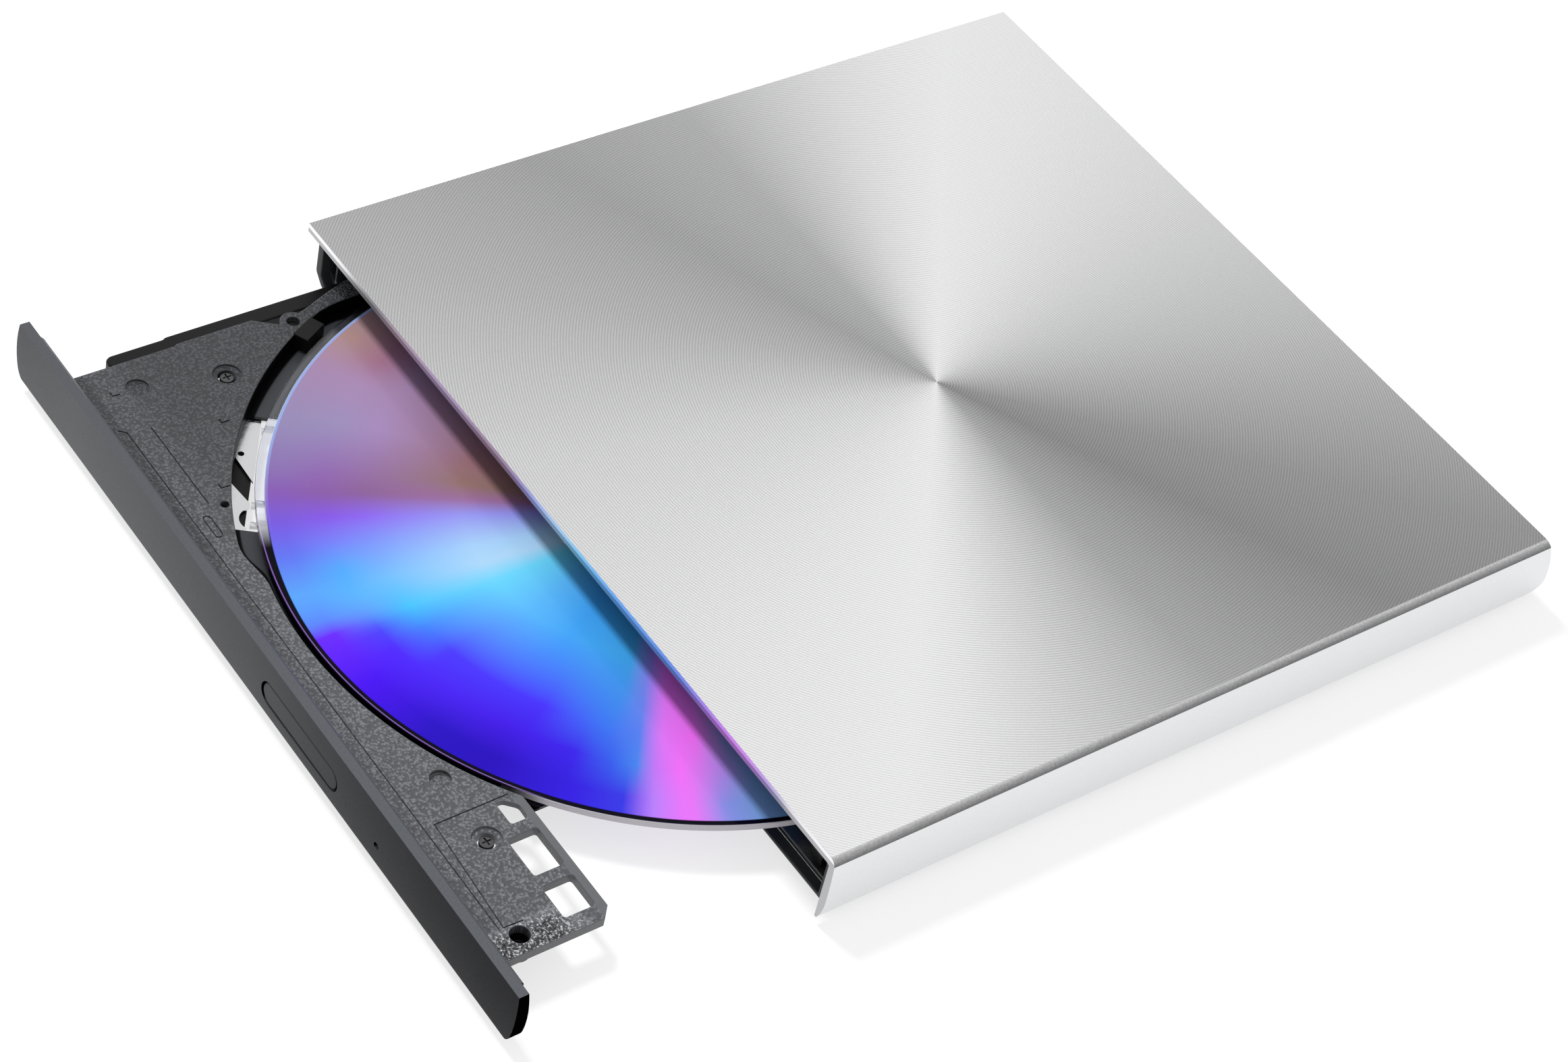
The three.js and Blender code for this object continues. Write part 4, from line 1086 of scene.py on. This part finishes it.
def make_screw_well(name, material):
    """A shallow dish with a screw sunk in the middle of it."""
    x, y, _ = centre_mm(name)
    outer, well = SCREW_BOSS["radius"], SCREW_BOSS["well"]
    dish = TRAY_TOP - SCREW_BOSS["depth"]
    profile = [(well, dish - 0.12), (well + 0.1, dish), (outer - 0.1, dish), (outer, dish + 0.1)]
    profile += [(outer, TRAY_TOP - 0.12), (outer + 0.5, TRAY_TOP - 0.12)]
    profile += [(outer + 0.5, PLATFORM_UNDER), (well, PLATFORM_UNDER)]
    piece = lathe(f"{name}_well", x, y, profile, 40)
    return finish_piece(piece, "tray", "tray_plastic", material)


def make_screw(name, material):
    """A small pan-head screw with a cross recess."""
    low, high = box_mm(name)
    x, y, _ = centre_mm(name)
    radius, top = (high[0] - low[0]) / 2, high[2]
    profile = [(0.0, top), (radius * 0.7, top), (radius * 0.93, top - 0.12), (radius, top - 0.3)]
    profile += [(radius, top - 0.6), (0.55, top - 0.6), (0.55, low[2]), (0.0, low[2])]
    screw = lathe(f"{name}_head", x, y, profile, 32)
    arms = [block("arm", x - 0.7, x + 0.7, y - 0.13, y + 0.13, top - 0.3, top + 1)]
    arms.append(block("arm", x - 0.13, x + 0.13, y - 0.7, y + 0.7, top - 0.3, top + 1))
    carve(screw, arms)
    return finish_piece(screw, "tray", "dark_steel", material, name)


def pocket_wall(name, start, end, steps, material):
    band = pocket_edge(start, end, steps, -0.03) + pocket_edge(end, start, steps, POCKET["wall"])
    wall = plate(name, band, [], POCKET["under"], TRAY_TOP - 0.15, 0.02)
    return finish_piece(wall, "tray", "tray_plastic", material)


SLED_ANGLE = 235.0
SLED_WAY = {"length": 70, "left": -11.5, "right": 12.2}
HUB_OPENING = 17


def along_sled(u, v):
    """A point of the tray from its distance along the pickup's way, and across it."""
    a = math.radians(SLED_ANGLE)
    x = DISC_X + u * math.cos(a) - v * math.sin(a)
    y = DISC_Y + u * math.sin(a) + v * math.cos(a)
    return x, y


def make_pocket_floor(material):
    """The pocket's thin floor, open along the pickup's way and round the spindle."""
    levels = (POCKET["under"] - 1, POCKET["floor"] + 1)
    edge = pocket_edge(0, 357.5, 143, 0.4)
    floor = plate("pocket_floor", edge, [], POCKET["under"], POCKET["floor"], 0.02)
    floor.modifiers.clear()
    length, left, right = (SLED_WAY[k] for k in ("length", "left", "right"))
    way = [along_sled(u, v) for u, v in ((0, left), (length, left), (length, right), (0, right))]
    cutters = [
        upright_prism("way", way, levels),
        upright_prism("hub", circle(DISC_X, DISC_Y, HUB_OPENING), levels),
        block("left", -80, -61.3, -60, 90, *levels),
        block("corner", 38, 80, -27.7, 7.0, *levels),
        block("open_end", BOWL_END["x"], 80, -60, BOWL_END["y"], *levels),
        block("open_rear", -80, 80, TRAY_REAR - 0.1, TRAY_REAR + 20, *levels),
    ]
    carve(floor, cutters)
    return finish_piece(floor, "tray", "tray_plastic", material)


CLIPS = [
    {"angle": 207, "inner": 60.9, "outer": 63.6},
    {"angle": 153, "inner": 60.5, "outer": 61.3},
    {"angle": 27, "inner": 60.5, "outer": 61.3},
]
CLIP_SIZE = {"half": 2.4, "top": 7.2}


def make_clips(material):
    """The blocks at the rim that keep a disc in when the drive stands on edge."""
    for clip in CLIPS:
        a = math.radians(clip["angle"])
        radial = Vector((math.cos(a), math.sin(a)))
        across = Vector((-math.sin(a), math.cos(a))) * CLIP_SIZE["half"]
        corners = ((clip["inner"], -1), (clip["outer"], -1), (clip["outer"], 1), (clip["inner"], 1))
        flat = [Vector((DISC_X, DISC_Y)) + radial * r + across * side for r, side in corners]
        levels = (POCKET["floor"] - 0.1, CLIP_SIZE["top"])
        hook = upright_prism(f"disc_clip_{clip['angle']}", flat, levels)
        soften(hook, 0.2)
        finish_piece(hook, "tray", "tray_plastic", material)


# The hair lines moulded into the platform's top, as paths.
GROOVES = [
    [(-48.4, -44.0), (-47.6, -43.1), (55.0, -43.0)],
    [(-47.0, -39.4), (-30.0, -39.4)],
    [(35.6, -29.6), (35.7, -41.3), (54.8, -42.3), (54.9, -39.4)],
    [(-55.9, -41.4), (-55.2, -41.4), (-55.2, -40.3)],
    [(-44.4, -29.6), (-43.7, -29.6), (-43.7, -28.4)],
    [(-32.6, -36.2), (-31.9, -36.2), (-31.9, -34.9)],
    pill(-25.65, -41.05, 4.5, 1.1, 5) + [(-23.95, -41.6)],
]
GROOVE = {"width": 0.22, "depth": 0.25}


def groove_cutters():
    """One thin bar for each straight stretch of the hair lines."""
    half = GROOVE["width"] / 2
    levels = (TRAY_TOP - GROOVE["depth"], TRAY_TOP + 1)
    bars = []
    for path in GROOVES:
        for start, end in zip(path, path[1:]):
            a, b = Vector(start), Vector(end)
            along = (b - a).normalized() * half
            across = Vector((-along.y, along.x))
            flat = [a - along - across, b + along - across, b + along + across, a - along + across]
            bars.append(upright_prism("groove", flat, levels))
    return bars


def make_tray(grain, black, shaded):
    screws = [centre_mm(name)[:2] for name in ("tray_screw_left", "tray_screw_right")]
    holes = [rounded(points, 0.5) for points in WINDOWS]
    holes += [circle(x, y, radius, 40) for x, y, radius, _ in DIMPLES]
    holes += [circle(x, y, SCREW_BOSS["radius"], 40) for x, y in screws]
    holes += [circle(*PIN_HOLE, 20), circle(*LOCATING_HOLE, 32)]
    platform = plate("tray_platform", platform_outline(), holes, PLATFORM_UNDER, TRAY_TOP, 0.15)
    (x0, x1), (y0, y1), (z0, z1) = THINNED
    carve(platform, groove_cutters() + [block("relief", x0, x1, y0, y1, z0, z1)])
    flatten(platform.data)
    even_shading(platform)
    finish_piece(platform, "tray", "tray_plastic", grain, "tray")
    eye = circle(EYE["x"], EYE["y"], EYE["inner"], 24)
    ledge = plate("tray_ledge", ledge_outline(), [eye], 5.9, TRAY_TOP - 0.01, 0.15)
    finish_piece(ledge, "tray", "tray_plastic", grain)
    for i, dimple in enumerate(DIMPLES):
        cup(f"tray_dimple_{i}", *dimple, grain)
    cup("locating_cup", *LOCATING_HOLE, 3.2, black)
    cup("eye_cup", EYE["x"], EYE["y"], EYE["inner"], 0.8, black)
    pocket_wall("pocket_wall_front", 194.0, BOWL_END["angle"], 90, shaded)
    pocket_wall("pocket_wall_right", -12.5, 74.0, 60, shaded)
    pocket_wall("pocket_wall_left", 106.0, 170.0, 45, shaded)
    make_pocket_floor(shaded)
    make_clips(black)


# ------------------------------------------------------------------ disc


def make_disc(material):
    """The disc, with its clear hub, its stacking ring and a softened rim."""
    bottom, top, radius = DISC_BOTTOM, DISC_TOP, DISC_RADIUS
    edge = arc(radius - 0.18, top - 0.18, 0.18, 90, 0, 4)
    low_edge = arc(radius - 0.18, bottom + 0.18, 0.18, 0, -90, 4)
    bore, ring = DISC_BORE, STACKING_RING
    upper = [(bore, top), (ring - 0.3, top), (ring, top - 0.12), (ring + 0.3, top)]
    upper += [(CLEAR_HUB, top), (CLEAR_RIM, top)]
    hub_bottom = bottom + HUB_LIFT
    lower = [(CLEAR_RIM, bottom), (CLEAR_HUB, bottom)]
    lower += [(ring + 0.3, bottom), (ring, bottom + 0.1), (ring - 0.3, hub_bottom), (bore, hub_bottom)]
    disc = lathe("disc_piece", DISC_X, DISC_Y, upper + edge + low_edge + lower, 256)
    even_shading(disc)
    return finish_piece(disc, "spindle", "disc_data", material, "disc")


# ------------------------------------------------------------------ the scene


def pale_table():
    """A pale table that glows a little, so that shadows on it stay light."""
    g = Graph("table_top", (0.25, 0.25, 0.25, 1.0), 0.9)
    g.set("Emission Color", (1.0, 1.0, 1.0, 1.0))
    g.set("Emission Strength", 0.7)
    return g.material


def add_floor():
    """A table top, well past the object."""
    mesh = bpy.data.meshes.new("floor")
    half = TABLE_HALF
    corners = [(-half, -half, 0), (half, -half, 0), (half, half, 0), (-half, half, 0)]
    mesh.from_pydata(corners, [], [(0, 1, 2, 3)])
    floor = bpy.data.objects.new("floor", mesh)
    bpy.context.collection.objects.link(floor)
    floor.data.materials.append(pale_table())


def dress_nodes(looks):
    """Gives each CAD node that stays its slot's material."""
    slots = {part["node"]: part["material_slot"] for part in frame["record"]["subparts"]}
    for name, node in frame["nodes"].items():
        node.data.materials.clear()
        node.data.materials.append(looks[slots[name]])


def make_looks():
    """One material for each slot that the record names."""
    return {
        "silver_cover": spun_metal(),
        "casing_plastic": smooth_plastic("casing_plastic", srgb(40, 41, 43), 0.5, 0.3),
        "bezel_plastic": bezel_plastic(),
        "tray_plastic": grained_plastic(),
        "black_plastic": smooth_plastic("black_plastic", srgb(12, 12, 13), 0.3, 0.2),
        "plated_steel": sheet_steel("plated_steel", srgb(150, 152, 155), 0.34),
        "bright_steel": sheet_steel("bright_steel", srgb(225, 226, 228), 0.2, 0.06),
        "dark_steel": sheet_steel("dark_steel", srgb(98, 98, 100), 0.3),
        "circuit_board": circuit_board(),
        "foot_rubber": rubber(),
        "disc_data": disc_surface(),
        "lens": lens_coating(),
    }


def main():
    add_camera()
    add_lights()
    add_floor()
    looks = make_looks()
    dress_nodes(looks)
    make_cover(looks["silver_cover"])
    make_tub(looks["casing_plastic"])
    make_mouth_frame(looks["casing_plastic"])
    make_feet(looks["foot_rubber"])
    make_left_rail(looks["black_plastic"])
    make_bezel(looks["bezel_plastic"])
    make_button(looks["bezel_plastic"])
    make_tray(looks["tray_plastic"], looks["black_plastic"], pocket_plastic())
    for name in ("tray_screw_left", "tray_screw_right"):
        make_screw_well(name, looks["tray_plastic"])
        make_screw(name, looks["dark_steel"])
    make_disc(looks["disc_data"])


main()
